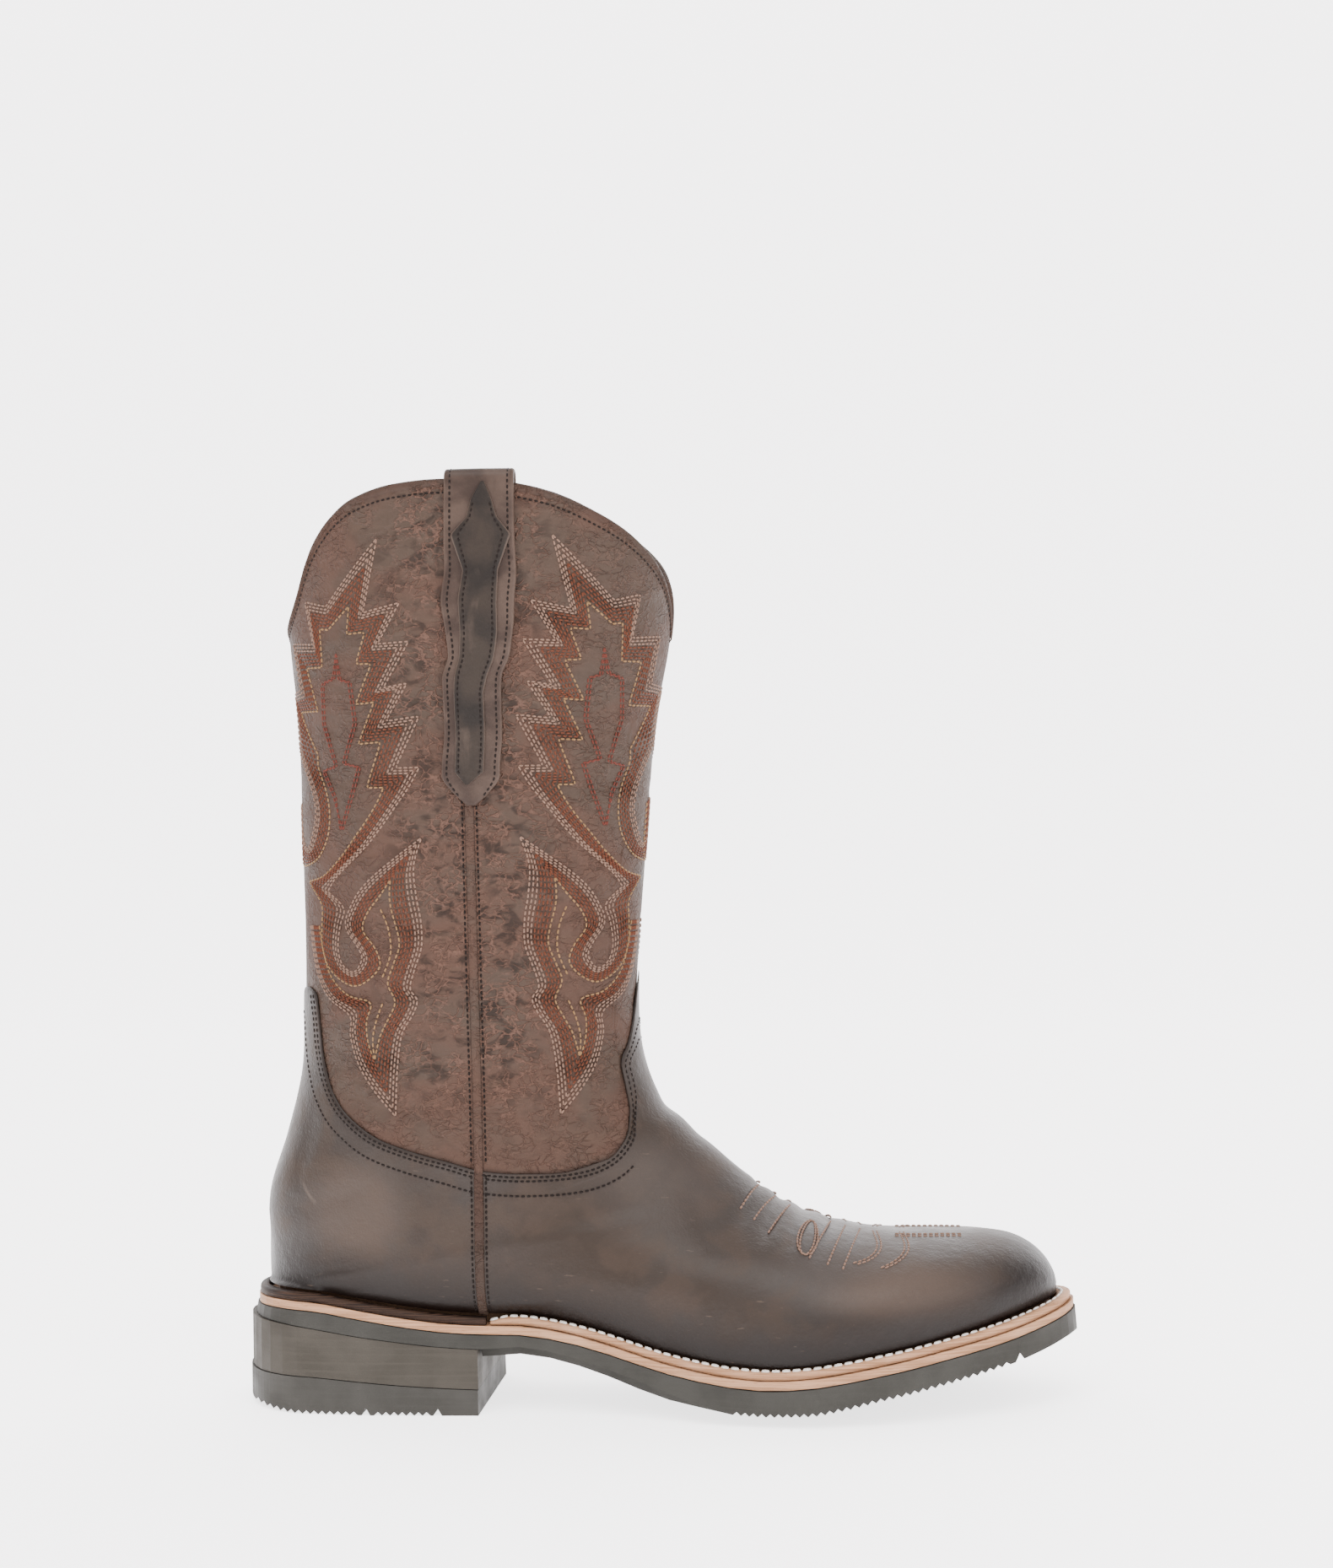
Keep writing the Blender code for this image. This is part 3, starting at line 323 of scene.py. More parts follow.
def ring_path(front):
    """Plan curve for the welt round the toe, or for the rand round the heel."""
    xs = PLAN_POINTS[:, 0]
    ids = np.where(xs > BREAST + 3.5)[0] if front else np.where(xs < BREAST + 3.0)[0]
    gap = np.where(np.diff(ids) > 1)[0]
    return np.roll(ids, -(gap[0] + 1)) if len(gap) else ids


def loft(rows, closed=True):
    """Quads between rows of equal length, with their point numbers in order."""
    high, wide = rows
    quads = []
    for i in range(high - 1):
        for j in range(wide if closed else wide - 1):
            k = (j + 1) % wide
            quads.append((i * wide + j, i * wide + k, (i + 1) * wide + k, (i + 1) * wide + j))
    return quads


def ring(front, grow, thickness, name, material, node):
    """Strip with softly rounded edges that follows the plan between the upper and the sole edge."""
    ids = ring_path(front)[::2]
    near, far = outline(lambda x: feather_inset(x) + OVERLAY_FACE + SIDE_GAP)[ids], outline(grow)[ids]
    inward = (near - far) / np.linalg.norm(near - far, axis=1)[:, None]
    thick = thickness(near[:, 0])
    rows = []
    for spot, rise in ((near, 0), (far, 0.02), (far, 0.55), (far + inward * 0.12, 0.78), (far + inward * 0.45, 0.93)):
        rows.append(np.column_stack([spot, seat(spot[:, 0]) + rise * thick]))
    rows.append(np.column_stack([far + inward * 1.1, seat(far[:, 0]) + thick]))
    rows.append(np.column_stack([near, seat(near[:, 0]) + thick]))
    points = np.stack(rows, 1)
    quads = loft(points.shape[:2])
    last = len(ids) - 1
    ends = [tuple(range(7))[::-1], tuple(last * 7 + k for k in range(7))]
    return sheet_mesh(name, points.reshape(-1, 3), quads + ends, material, [node])


def welt_thickness(x):
    return WELT * (0.45 + 0.55 * ease(x, BREAST + 3.0, BREAST + 12.0))


ring(True, WELT_EDGE, welt_thickness, "stitched_welt", tan, "welt")


def stitches(name, runs, pitch, width, height, material, fill=0.84):
    """Row of thread loops along each run of surface points, as one joined mesh."""
    ring_places = np.array([-0.36, 0.0, 0.36])
    ring_sizes = np.array([0.85, 1.0, 0.85])
    template = [(-0.5, 0.0, -0.25)]
    for place, size in zip(ring_places, ring_sizes):
        template += [(place, size, 0.0), (place, 0.0, size), (place, -size, 0.0), (place, 0.0, -size)]
    template = np.array(template + [(0.5, 0.0, -0.25)])
    faces = [(0, 1 + (k + 1) % 4, 1 + k) for k in range(4)]
    for i in range(2):
        for k in range(4):
            a, b = 1 + 4 * i + k, 1 + 4 * i + (k + 1) % 4
            faces.append((a, b, b + 4, a + 4))
    faces += [(13, 9 + k, 9 + (k + 1) % 4) for k in range(4)]
    points, quads, count = [], [], 0
    for path, normals in runs:
        steps = np.linalg.norm(np.diff(path, axis=0), axis=1)
        distance = np.concatenate([[0], np.cumsum(steps)])
        number = int(distance[-1] // pitch)
        if number < 1:
            continue
        at = (np.arange(number) + 0.5) * distance[-1] / number
        half = distance[-1] / number * fill / 2
        spots = [np.column_stack([np.interp(at + o, distance, path[:, k]) for k in range(3)]) for o in (-half, half)]
        up = np.column_stack([np.interp(at, distance, normals[:, k]) for k in range(3)])
        up /= np.linalg.norm(up, axis=1)[:, None]
        middle, tangent = (spots[0] + spots[1]) / 2, spots[1] - spots[0]
        size = np.linalg.norm(tangent, axis=1)[:, None] + 1e-9
        side = np.cross(up, tangent / size)
        block = middle[:, None] + template[None, :, 0:1] * tangent[:, None]
        block = block + template[None, :, 1:2] * side[:, None] * width / 2
        block = block + template[None, :, 2:3] * up[:, None] * height
        points.append(block.reshape(-1, 3))
        for s in range(number):
            quads += [tuple(v + count + s * 14 for v in f) for f in faces]
        count += number * 14
    return sheet_mesh(name, np.vstack(points), quads, material)


def thread(name, base, roughness=0.5):
    """Twisted thread: two tones of the dye across its twist."""
    material, nodes, links, shader, place = finish(name, base, roughness)
    twist = noise(nodes, links, place, 1800.0, 2.0)
    dark = tuple(c * 0.7 for c in base)
    links.new(mixed(nodes, links, band(nodes, links, twist, 0.35, 0.65), dark, base), shader.inputs["Base Color"])
    raised(nodes, links, shader, [(twist, 0.0001)])
    return material


ids = ring_path(True)
middle_line = outline(lambda x: (feather_inset(x) + OVERLAY_FACE + SIDE_GAP) * 0.62 + WELT_EDGE * 0.38)[ids]
welt_row = np.column_stack([middle_line, seat(middle_line[:, 0]) + welt_thickness(middle_line[:, 0]) + 0.05])
welt_up = np.tile((0.0, 0.0, 1.0), (len(welt_row), 1))
white_thread = thread("waxed_white_thread", (3.0, 3.2, 3.3), 0.55)
stitches("welt_stitching", [(welt_row, welt_up)], WELT_PITCH, 1.5, 0.75, white_thread, 0.9)

# Rand: a thin dark strip that closes the heel seat between the counter and the midsole.
# It is built from split leather, so its edge shows as two brown layers.
rand_material, nodes, links, shader, place = finish("rand_leather", (0.055, 0.030, 0.020), 0.6)
layers = noise(nodes, links, stretched(nodes, links, place, (30, 30, 1500)), 2.0, 3.0)
tone = mixed(nodes, links, band(nodes, links, layers, 0.4, 0.62), (0.035, 0.018, 0.012), (0.15, 0.085, 0.055))
links.new(tone, shader.inputs["Base Color"])
raised(nodes, links, shader, [(layers, 0.0003)])
ring(False, RAND_EDGE, lambda x: WELT + 0 * x, "heel_seat_rand", rand_material, "heel_rand")

# Insole: a cut leather board with a smooth sock face, lasted inside the lower rim of the upper.
# It is seen only down through the shaft.
insole_material, nodes, links, shader, place = finish("sock_leather", (0.42, 0.27, 0.16), 0.65)
wear = noise(nodes, links, place, 30.0, 5.0)
tone = mixed(nodes, links, band(nodes, links, wear, 0.35, 0.7), (0.28, 0.17, 0.10), (0.52, 0.35, 0.22))
links.new(tone, shader.inputs["Base Color"])
raised(nodes, links, shader, [(noise(nodes, links, place, 900.0, 4.0), 0.0002)])
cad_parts["insole"].data.materials.clear()
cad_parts["insole"].data.materials.append(insole_material)

# Shaft: two panels of crackled red-brown leather, front and back, sewn at the sides.
# Rows of the tables are sections of the last: front, back, half width, share where widest, roundness.
SHAFT = [
    (11.2, 350, -138.2, 350.0, 49.5, 0.50, 2.05, 2.00),
    (9.6, 291, -136.4, 291.0, 48.0, 0.50, 2.05, 2.00),
    (2.6, 251, -133.1, 251.0, 45.5, 0.50, 2.05, 2.00),
    (-1.2, 211, -132.5, 211.0, 43.0, 0.50, 2.05, 2.00),
    (-4.4, 176, -132.0, 176.0, 41.0, 0.49, 2.05, 2.00),
    (-6.3, 149, -132.3, 148.0, 39.5, 0.48, 2.05, 2.05),
    (-5.0, 129, -133.3, 124.0, 38.0, 0.48, 2.05, 2.10),
    (0.9, 112, -139.3, 100.0, 37.0, 0.49, 2.00, 2.25),
    (10.5, 101.8, -146.2, 79.0, 36.5, 0.50, 2.00, 2.60),
    (20.4, 92.8, -147.3, 60.0, 36.5, 0.52, 2.00, 2.95),
    (29.5, 84.8, -146.8, 44.2, 36.8, 0.54, 2.00, 3.30),
]
FOOT = [
    (35.0, 80.6, -145.6, 37.2, 36.8, 0.56, 1.75, 2.00, 3.3),
    (39.5, 77.4, -141.8, 37.8, 37.2, 0.58, 1.58, 2.00, 3.1),
    (43.5, 74.5, -134.5, 37.4, 37.0, 0.60, 1.40, 2.00, 2.8),
    (47.5, 72.0, -121.0, 38.0, 37.4, 0.62, 1.22, 2.00, 2.45),
    (51.5, 70.0, -100.0, 38.9, 38.2, 0.63, 1.08, 2.00, 2.2),
    (56.0, 68.0, -74.0, 40.6, 39.8, 0.62, 1.00, 2.00, 2.05),
    (60.5, 66.2, -46.0, 43.2, 42.2, 0.58, 0.95, 2.05, 2.0),
    (65.5, 64.6, -18.0, 46.4, 44.8, 0.50, 0.95, 2.10, 2.0),
    (71.5, 63.0, 9.0, 49.0, 47.0, 0.40, 1.00, 2.15, 2.0),
    (78.5, 61.6, 34.0, 50.6, 49.0, 0.30, 1.10, 2.20, 2.0),
    (87.0, 60.9, 58.0, 50.6, 49.9, 0.24, 1.20, 2.25, 2.0),
    (97.0, 60.7, 80.0, 48.6, 49.8, 0.22, 1.30, 2.30, 2.0),
    (108.5, 60.6, 99.0, 43.6, 46.4, 0.22, 1.30, 2.30, 2.0),
    (120.0, 60.1, 115.0, 37.0, 40.6, 0.24, 1.20, 2.30, 2.0),
    (130.5, 58.6, 128.5, 28.6, 32.4, 0.27, 1.15, 2.30, 2.0),
    (138.0, 55.2, 137.4, 20.6, 24.3, 0.32, 1.15, 2.25, 2.0),
    (143.1, 50.6, 142.8, 13.5, 16.1, 0.38, 1.20, 2.20, 2.0),
    (146.1, 45.6, 145.9, 6.6, 7.9, 0.45, 2.00, 2.10, 2.0),
    (147.2, 41.4, 147.0, 0.0, 0.0, 0.50, 2.00, 2.00, 2.0),
]
GRID = [
    (0.0, 0.0), (1.0, 1.0), (2.0, 2.2), (3.0, 3.4), (4.0, 4.6), (5.0, 5.8), (6.0, 7.0), (6.9, 8.0), (7.7, 9.0),
    (8.5, 10.0), (9.1, 11.5), (9.75, 13.0), (10.5, 14.1), (11.3, 15.0), (12.2, 15.8), (13.2, 16.6),
    (14.4, 17.4), (15.7, 18.2), (17.1, 19.0), (18.5, 19.8), (19.8, 20.6), (21.0, 21.4), (22.1, 22.3),
    (23.1, 23.2), (24.0, 24.0), (25.0, 25.0), (26.0, 26.0), (27.0, 27.0), (28.0, 28.0), (29.0, 29.0),
]
HEEL_LINE = 9
HEEL_ROW = len(SHAFT) - 1
TOE_ROW = HEEL_ROW + len(FOOT)
COLLAR = [
    (0.000, 287.0), (0.040, 288.5), (0.080, 291.0), (0.120, 295.0), (0.155, 301.0), (0.190, 310.5),
    (0.224, 319.0), (0.271, 327.5), (0.316, 333.0), (0.400, 337.6), (0.468, 338.6), (0.530, 338.2),
    (0.586, 336.8), (0.646, 333.8), (0.736, 326.0), (0.789, 320.8), (0.824, 316.8), (0.872, 310.8),
    (0.910, 305.0), (0.940, 299.5), (0.970, 292.5), (1.000, 284.0),
]
OVERLAY_EDGE = [
    (-132.4, 153.0), (-129.0, 155.0), (-124.0, 153.0), (-122.6, 144.0), (-121.6, 133.0), (-119.0, 122.0),
    (-114.5, 113.0), (-108.0, 106.5), (-99.6, 101.0), (-85.7, 96.0), (-72.0, 92.2), (-61.6, 89.2),
    (-45.6, 87.8), (-27.0, 88.6), (-16.0, 91.8), (-10.0, 97.5), (-8.0, 105.0), (-9.4, 116.0),
    (-11.2, 124.0), (-10.8, 128.0), (-9.2, 132.0), (-7.6, 140.0), (-6.6, 150.0), (-5.5, 159.0),
]
SEAM_X = -61.8


def through(values):
    """Catmull-Rom curve through values at rows 0, 1, 2 and so on."""
    values = np.array(values, float)
    rates = np.gradient(values)

    def value(row):
        i = np.clip(np.floor(row).astype(int), 0, len(values) - 2)
        u = row - i
        a, b = values[i], values[i + 1]
        return a + u * u * (3 - 2 * u) * (b - a) + u * (1 - u) * ((1 - u) * rates[i] - u * rates[i + 1])

    return value


def edge_of(curve, side):
    """y of one side of a closed plan curve as a function of x."""
    curve = np.roll(curve, -curve[:, 0].argmin(), 0)
    tip = curve[:, 0].argmax()
    run = curve[:tip + 1] if side == INNER else np.vstack([curve[:1], curve[tip:][::-1]])
    order = np.argsort(run[:, 0], kind="stable")
    xs, ys = run[order, 0], run[order, 1]
    return lambda x: np.interp(x, xs, ys)


FEATHER_LINE = outline(feather_inset)
FEATHER = {side: edge_of(FEATHER_LINE, side) for side in (OUTER, INNER)}
HEEL_POINT = FEATHER_LINE[FEATHER_LINE[:, 0].argmin()]
TOE_POINT = FEATHER_LINE[FEATHER_LINE[:, 0].argmax()]


def middle_y(x):
    """Centre line of the upper, which leans to the inner side at the toe."""
    return HEEL_POINT[1] + (TOE_POINT[1] - HEEL_POINT[1]) * ease(x, 50, TOE_POINT[0])


def fan_columns():
    front_x, front_z = ([r[k] for r in SHAFT] + [r[k] for r in FOOT] for k in (0, 1))
    back_x = [r[2] for r in SHAFT] + [r[2] for r in FOOT]
    back_x[HEEL_ROW], back_x[TOE_ROW] = HEEL_POINT[0], TOE_POINT[0]
    outer, inner = ([r[4] for r in SHAFT] + [r[k] for r in FOOT] for k in (3, 4))
    widest = [r[5] for r in SHAFT] + [r[5] for r in FOOT]
    below = [2.0 for _ in SHAFT[:-3]] + [1.95, 1.88, 1.78] + [r[6] for r in FOOT]
    above = [r[6] for r in SHAFT] + [r[7] for r in FOOT]
    square = [r[7] for r in SHAFT] + [r[8] for r in FOOT]
    lists = (front_x, front_z, back_x, [r[3] for r in SHAFT], outer, inner, widest, below, above, square)
    return [through(values) for values in lists]


FRONT_X, FRONT_Z, BACK_X, BACK_Z, OUTER_W, INNER_W, WIDEST, BELOW, ABOVE, SQUARE = fan_columns()


def fan_line(row):
    """Ends of one section of the upper in side view: front or ridge, and back or feather."""
    x = BACK_X(row)
    z = np.where(row <= HEEL_ROW, BACK_Z(np.minimum(row, HEEL_ROW)), feather_level(x))
    return FRONT_X(row), FRONT_Z(row), x, z


def section_width(row, share, side):
    """Half width of the upper at a share of the way from back or feather to front or ridge."""
    x = BACK_X(row)
    foot = np.where(row > HEEL_ROW, np.maximum(side * (FEATHER[side](x) - middle_y(x)), 0.0), 0.0)
    width = np.maximum(OUTER_W(row) if side == OUTER else INNER_W(row), foot)
    peak = WIDEST(row)
    low = np.clip((peak - share) / peak, 0, 1)
    high = np.clip((share - peak) / (1 - peak), 0, 1)
    rise = foot + (width - foot) * np.maximum(1 - low ** SQUARE(row), 0) ** (1 / BELOW(row))
    fall = width * np.maximum(1 - high ** ABOVE(row), 0) ** 0.5
    return np.where(share < peak, rise, fall)


def locate(x, z, lines, last):
    """Line of a fan, and share of the way along it, at side-view points."""
    low, high = np.zeros(np.shape(x)), np.full(np.shape(x), float(last))
    for _ in range(36):
        row = (low + high) / 2
        fx, fz, qx, qz = lines(row)
        beyond = (fx - qx) * (z - qz) - (fz - qz) * (x - qx) < 0
        low, high = np.where(beyond, row, low), np.where(beyond, high, row)
    fx, fz, qx, qz = lines(low)
    share = ((x - qx) * (fx - qx) + (z - qz) * (fz - qz)) / ((fx - qx) ** 2 + (fz - qz) ** 2)
    return low, np.clip(share, 0, 1)


def surface(x, z, side):
    """Points of one side of the upper's pattern surface above side-view points."""
    row, share = locate(x, z, fan_line, TOE_ROW)
    return np.stack([x, section_width(row, share, side) * side + middle_y(x), z], -1)


GRID_FRONT = through([front for front, _ in GRID])
GRID_BACK = through([back for _, back in GRID])


def grid_line(line):
    """Ends of one grid line in side view."""
    fx, fz, _, _ = fan_line(GRID_FRONT(line))
    _, _, qx, qz = fan_line(GRID_BACK(line))
    return fx, fz, qx, qz


def collar_lines(turns):
    """Grid line of the collar at each turn round the shaft, 0 at the back and 1 at the front."""
    height = monotone(COLLAR)(turns)
    lines = np.linspace(0, 3, 600)
    fx, fz, qx, qz = grid_line(lines)
    share = (1 - np.cos(np.pi * turns)) / 2
    return np.array([np.interp(-z, -(qz + s * (fz - qz)), lines) for z, s in zip(height, share)])


def overlay_lines(turns):
    """Grid line of the vamp and counter's top edge at each turn."""
    edge = np.array(OVERLAY_EDGE, float)
    line, share = locate(edge[:, 0], edge[:, 1], grid_line, len(GRID) - 1)
    turn = np.arccos(1 - 2 * share) / np.pi
    turn[0], turn[-1] = 0.0, 1.0
    turn = np.maximum.accumulate(turn) + np.arange(len(turn)) * 1e-4
    return monotone(np.column_stack([turn / turn[-1], line]))(turns)


HEEL_PASSES = 260


def skin(lines, turns, face):
    """Both sides of the upper over a grid, joined at back and front, with their normals and how far out along them each
    point belongs.
    """
    high, wide = lines.shape
    line, turn = lines.ravel(), np.tile(turns, high)
    on_middle = (turn > 1 - 1e-6) | (line > len(GRID) - 1 - 1e-6) | ((turn < 1e-6) & (line <= HEEL_LINE + 1e-6))
    fx, fz, qx, qz = grid_line(line)
    rounded, open_end = (1 - np.cos(np.pi * turn)) / 2, np.sin(np.pi * turn / 2)
    share = rounded + (open_end - rounded) * 0.75 * ease(line, HEEL_LINE, HEEL_LINE + 6)
    x, z = qx + share * (fx - qx), qz + share * (fz - qz)
    outer, inner = surface(x, z, OUTER), surface(x, z, INNER)
    outer[on_middle, 1] = middle_y(x[on_middle])
    total = len(line)
    twin = np.where(on_middle, np.arange(total), np.arange(total) + total)
    points = np.vstack([outer, inner])
    sheets = points.reshape(2, high, wide, 3)
    low_back = ease(-sheets[..., 0], 112, 132) * ease(-(sheets[..., 2] - feather_level(sheets[..., 0])), -26, -12)
    calm = 0.5 * low_back[:, 1:-1, 1:-1, None]
    for _ in range(HEEL_PASSES):
        around = sheets[:, :-2, 1:-1] + sheets[:, 2:, 1:-1] + sheets[:, 1:-1, :-2] + sheets[:, 1:-1, 2:]
        sheets[:, 1:-1, 1:-1] += calm * (around / 4 - sheets[:, 1:-1, 1:-1])
    i, j = np.meshgrid(np.arange(high - 1), np.arange(wide - 1), indexing="ij")
    a = (i * wide + j).ravel()
    quads = np.stack([a, a + wide, a + wide + 1, a + 1], 1)
    quads = quads[~on_middle[quads].all(1)]
    quads = np.vstack([quads, twin[quads][:, ::-1]])
    cross = np.cross(points[quads[:, 2]] - points[quads[:, 0]], points[quads[:, 3]] - points[quads[:, 1]])
    normals = np.zeros_like(points)
    for k in range(4):
        np.add.at(normals, quads[:, k], cross)
    normals /= np.linalg.norm(normals, axis=1)[:, None] + 1e-12
    normals[:, 2] *= ease(points[:, 2] - feather_level(points[:, 0]), 0, 6.0)
    normals[:total][on_middle, 1] = 0.0
    normals /= np.linalg.norm(normals, axis=1)[:, None] + 1e-12
    if np.sum(normals * (points - points.mean(0))) < 0:
        normals, quads = -normals, quads[:, ::-1]
    level = np.tile(np.broadcast_to(face, lines.shape).ravel(), 2)
    return points, normals, quads, level


def crease(points, centre, tilt, length, reach):
    """Soft trough across the leather, deepest along a short tilted line in side view."""
    dx, dz = points[:, 0] - centre[0], points[:, 2] - centre[1]
    u = dx * math.cos(tilt) + dz * math.sin(tilt)
    v = -dx * math.sin(tilt) + dz * math.cos(tilt)
    return np.exp(-(v / reach) ** 2) * np.exp(-(u / length) ** 4)


# Creases of the shaft: x, z, tilt in degrees, half length, reach, depth
SHAFT_CREASES = [
    (-20, 300, -28, 16, 3.0, 0.7), (-26, 286, -24, 14, 2.6, 0.6), (-40, 296, 52, 12, 2.6, 0.6),
    (-100, 250, 4, 22, 3.2, 0.4), (-104, 232, -3, 24, 2.8, 0.4), (-24, 246, 3, 24, 3.0, 0.4),
    (-22, 228, -4, 26, 3.0, 0.45), (-98, 206, 6, 26, 2.8, 0.4), (-26, 200, 4, 22, 2.8, 0.4),
    (-100, 178, -4, 24, 3.0, 0.45), (-24, 176, 3, 24, 3.0, 0.45), (-98, 152, 5, 26, 3.0, 0.45),
    (-28, 150, -5, 24, 3.0, 0.5), (-96, 128, 7, 24, 3.2, 0.5), (-30, 126, 5, 22, 3.4, 0.6),
    (-26, 108, -6, 18, 3.0, 0.5), (-84, 112, 4, 20, 2.8, 0.4), (-72, 262, 62, 12, 2.2, 0.4),
]


def add_creases(points, normals, level, table):
    moved = level.copy()
    for x, z, tilt, length, reach, depth in table:
        moved -= depth * crease(points, (x, z), math.radians(tilt), length, reach)
    return points + normals * moved[:, None]


def shaft_leather():
    """Waxed, crackled leather: taupe and red-brown clouds, dark islands and a net of rubbed veins."""
    material, nodes, links, shader, place = finish("shaft_leather", (0.17, 0.10, 0.075), 0.55)
    flat = stretched(nodes, links, place, (1, 1, 1.5))
    cloud = noise(nodes, links, flat, 22.0, 5.0, 0.6)
    island = noise(nodes, links, flat, 120.0, 6.0, 0.9)
    tone = mixed(nodes, links, band(nodes, links, cloud, 0.40, 0.62), (0.172, 0.128, 0.104), (0.215, 0.132, 0.104))
    near_seam = measure(nodes, "crackle")
    dark_share = product(nodes, links, band(nodes, links, island, 0.45, 0.64, 0.0, 0.85), near_seam)
    tone = mixed(nodes, links, dark_share, tone, (0.048, 0.030, 0.022))
    cells = nodes.new("ShaderNodeTexVoronoi")
    cells.feature = "DISTANCE_TO_EDGE"
    cells.inputs["Scale"].default_value = 250.0
    warp = nodes.new("ShaderNodeVectorMath")
    warp.operation = "MULTIPLY_ADD"
    shake = nodes.new("ShaderNodeTexNoise")
    shake.inputs["Scale"].default_value = 90.0
    shake.inputs["Detail"].default_value = 5.0
    links.new(flat, shake.inputs["Vector"])
    links.new(shake.outputs["Color"], warp.inputs[0])
    warp.inputs[1].default_value = (0.016, 0.016, 0.016)
    links.new(flat, warp.inputs[2])
    links.new(warp.outputs[0], cells.inputs["Vector"])
    vein = band(nodes, links, cells.outputs["Distance"], 0.0, 0.17, 1.0, 0.0)
    vein = product(nodes, links, vein, band(nodes, links, noise(nodes, links, place, 120.0, 4.0), 0.36, 0.56))
    vein_share = product(nodes, links, vein, band(nodes, links, near_seam, 0.0, 1.0, 0.25, 0.85))
    tone = mixed(nodes, links, vein_share, tone, (0.360, 0.215, 0.170))
    rub = noise(nodes, links, stretched(nodes, links, place, (1, 1, 4)), 55.0, 6.0, 0.4)
    tone = mixed(nodes, links, band(nodes, links, rub, 0.56, 0.74, 0.0, 0.5), tone, (0.235, 0.165, 0.130))
    tone = mixed(nodes, links, measure(nodes, "edge_dark"), tone, (0.045, 0.028, 0.022))
    links.new(tone, shader.inputs["Base Color"])
    links.new(band(nodes, links, cloud, 0.3, 0.7, 0.48, 0.66), shader.inputs["Roughness"])
    grain = noise(nodes, links, place, 750.0, 5.0)
    wrinkle = noise(nodes, links, stretched(nodes, links, place, (1, 1, 2.2)), 52.0, 4.0, 0.5)
    raised(nodes, links, shader, [(wrinkle, 0.0015), (vein, 0.0005), (grain, 0.00022)])
    return material


SHAFT_ROWS, SHAFT_TURNS = 200, 120
turns = np.linspace(0, 1, SHAFT_TURNS)
collar, edge = collar_lines(turns), overlay_lines(turns)
tucked = edge + 0.22
down = np.linspace(0, 1, SHAFT_ROWS)[:, None]
lines = collar + (tucked - collar) * down
points, normals, quads, level = skin(lines, turns, SHAFT_FACE)
placed = add_creases(points, normals, level, SHAFT_CREASES)
from_seam = np.abs(points[:, 0] - SEAM_X)
crackle = 0.15 + 0.85 * ease(-from_seam, -46, -8) * ease(points[:, 2], 100, 130)
edge_dark = 0.6 * ease(-(np.tile(((tucked - lines) / (tucked - collar) * 100).ravel(), 2)), -5.0, -2.4)
shaft = shaft_leather()
sheet_mesh(
    "shaft_panels", placed, quads, shaft, ["upper"],
    {"crackle": crackle, "edge_dark": edge_dark},
)

# Lining: natural calf leather, smooth side in, glued to both panels and to the back of the vamp.
# It shows at the collar and down the inside.
lining_material, nodes, links, shader, place = finish("lining_leather", (0.62, 0.40, 0.24), 0.6)
stain = noise(nodes, links, place, 25.0, 5.0)
tone = mixed(nodes, links, band(nodes, links, stain, 0.35, 0.7), (1.15, 0.76, 0.50), (1.50, 1.05, 0.75))
links.new(tone, shader.inputs["Base Color"])
raised(nodes, links, shader, [(noise(nodes, links, place, 700.0, 5.0), 0.0002)])
LINING_ROWS, LINING_TURNS = 150, 60
lining_turns = np.linspace(0, 1, LINING_TURNS)
lining_top = collar_lines(lining_turns)
last_line = np.full(LINING_TURNS, float(len(GRID) - 1))
heel_fan = np.full(LINING_TURNS, float(HEEL_LINE))
upper_rows = lining_top + (heel_fan - lining_top) * np.linspace(0, 1, LINING_ROWS // 2)[:, None]
lower_rows = heel_fan + (last_line - heel_fan) * np.linspace(0, 1, LINING_ROWS // 2)[1:, None]
points, normals, quads, level = skin(np.vstack([upper_rows, lower_rows]), lining_turns, LINING_FACE)
sheet_mesh("lining", points + normals * level[:, None], quads[:, ::-1], lining_material)

# Vamp, tongue and counter: smooth waxed leather over the foot and heel, lapped on the shaft and stitched.
# Its cut edge stands a leather's thickness proud, and it is burnished dark along the welt and the toe.
FOOT_TURNS = 120
foot_turns = np.linspace(0, 1, FOOT_TURNS)
edge = overlay_lines(foot_turns)
heel = np.full(FOOT_TURNS, float(HEEL_LINE))
first = np.concatenate([[0.0, 0.0, 0.008, 0.02], np.linspace(0.04, 1, 46)])[:, None]
hoops = HEEL_LINE + np.linspace(0, len(GRID) - 1 - HEEL_LINE, 190)[1:, None]
lines = np.vstack([edge + (heel - edge) * first, np.broadcast_to(hoops, (189, FOOT_TURNS))])
face = np.full(lines.shape, OVERLAY_FACE)
face[0], face[1], face[2] = SHAFT_FACE - 0.2, OVERLAY_FACE - 0.35, OVERLAY_FACE - 0.08
points, normals, quads, level = skin(lines, foot_turns, face)
SOFTENED = 90
calm = 0.5 * ease(points[:, 2] - feather_level(points[:, 0]), 2, 14) * ease(-points[:, 2], -96, -80)
blocks = points[:, 1].reshape(2, len(lines), FOOT_TURNS)
calm = calm.reshape(2, len(lines), FOOT_TURNS)[:, 1:-1, 1:-1]
for _ in range(SOFTENED):
    around = blocks[:, :-2, 1:-1] + blocks[:, 2:, 1:-1] + blocks[:, 1:-1, :-2] + blocks[:, 1:-1, 2:]
    blocks[:, 1:-1, 1:-1] += calm * (around / 4 - blocks[:, 1:-1, 1:-1])
points[:, 1] = blocks.ravel()
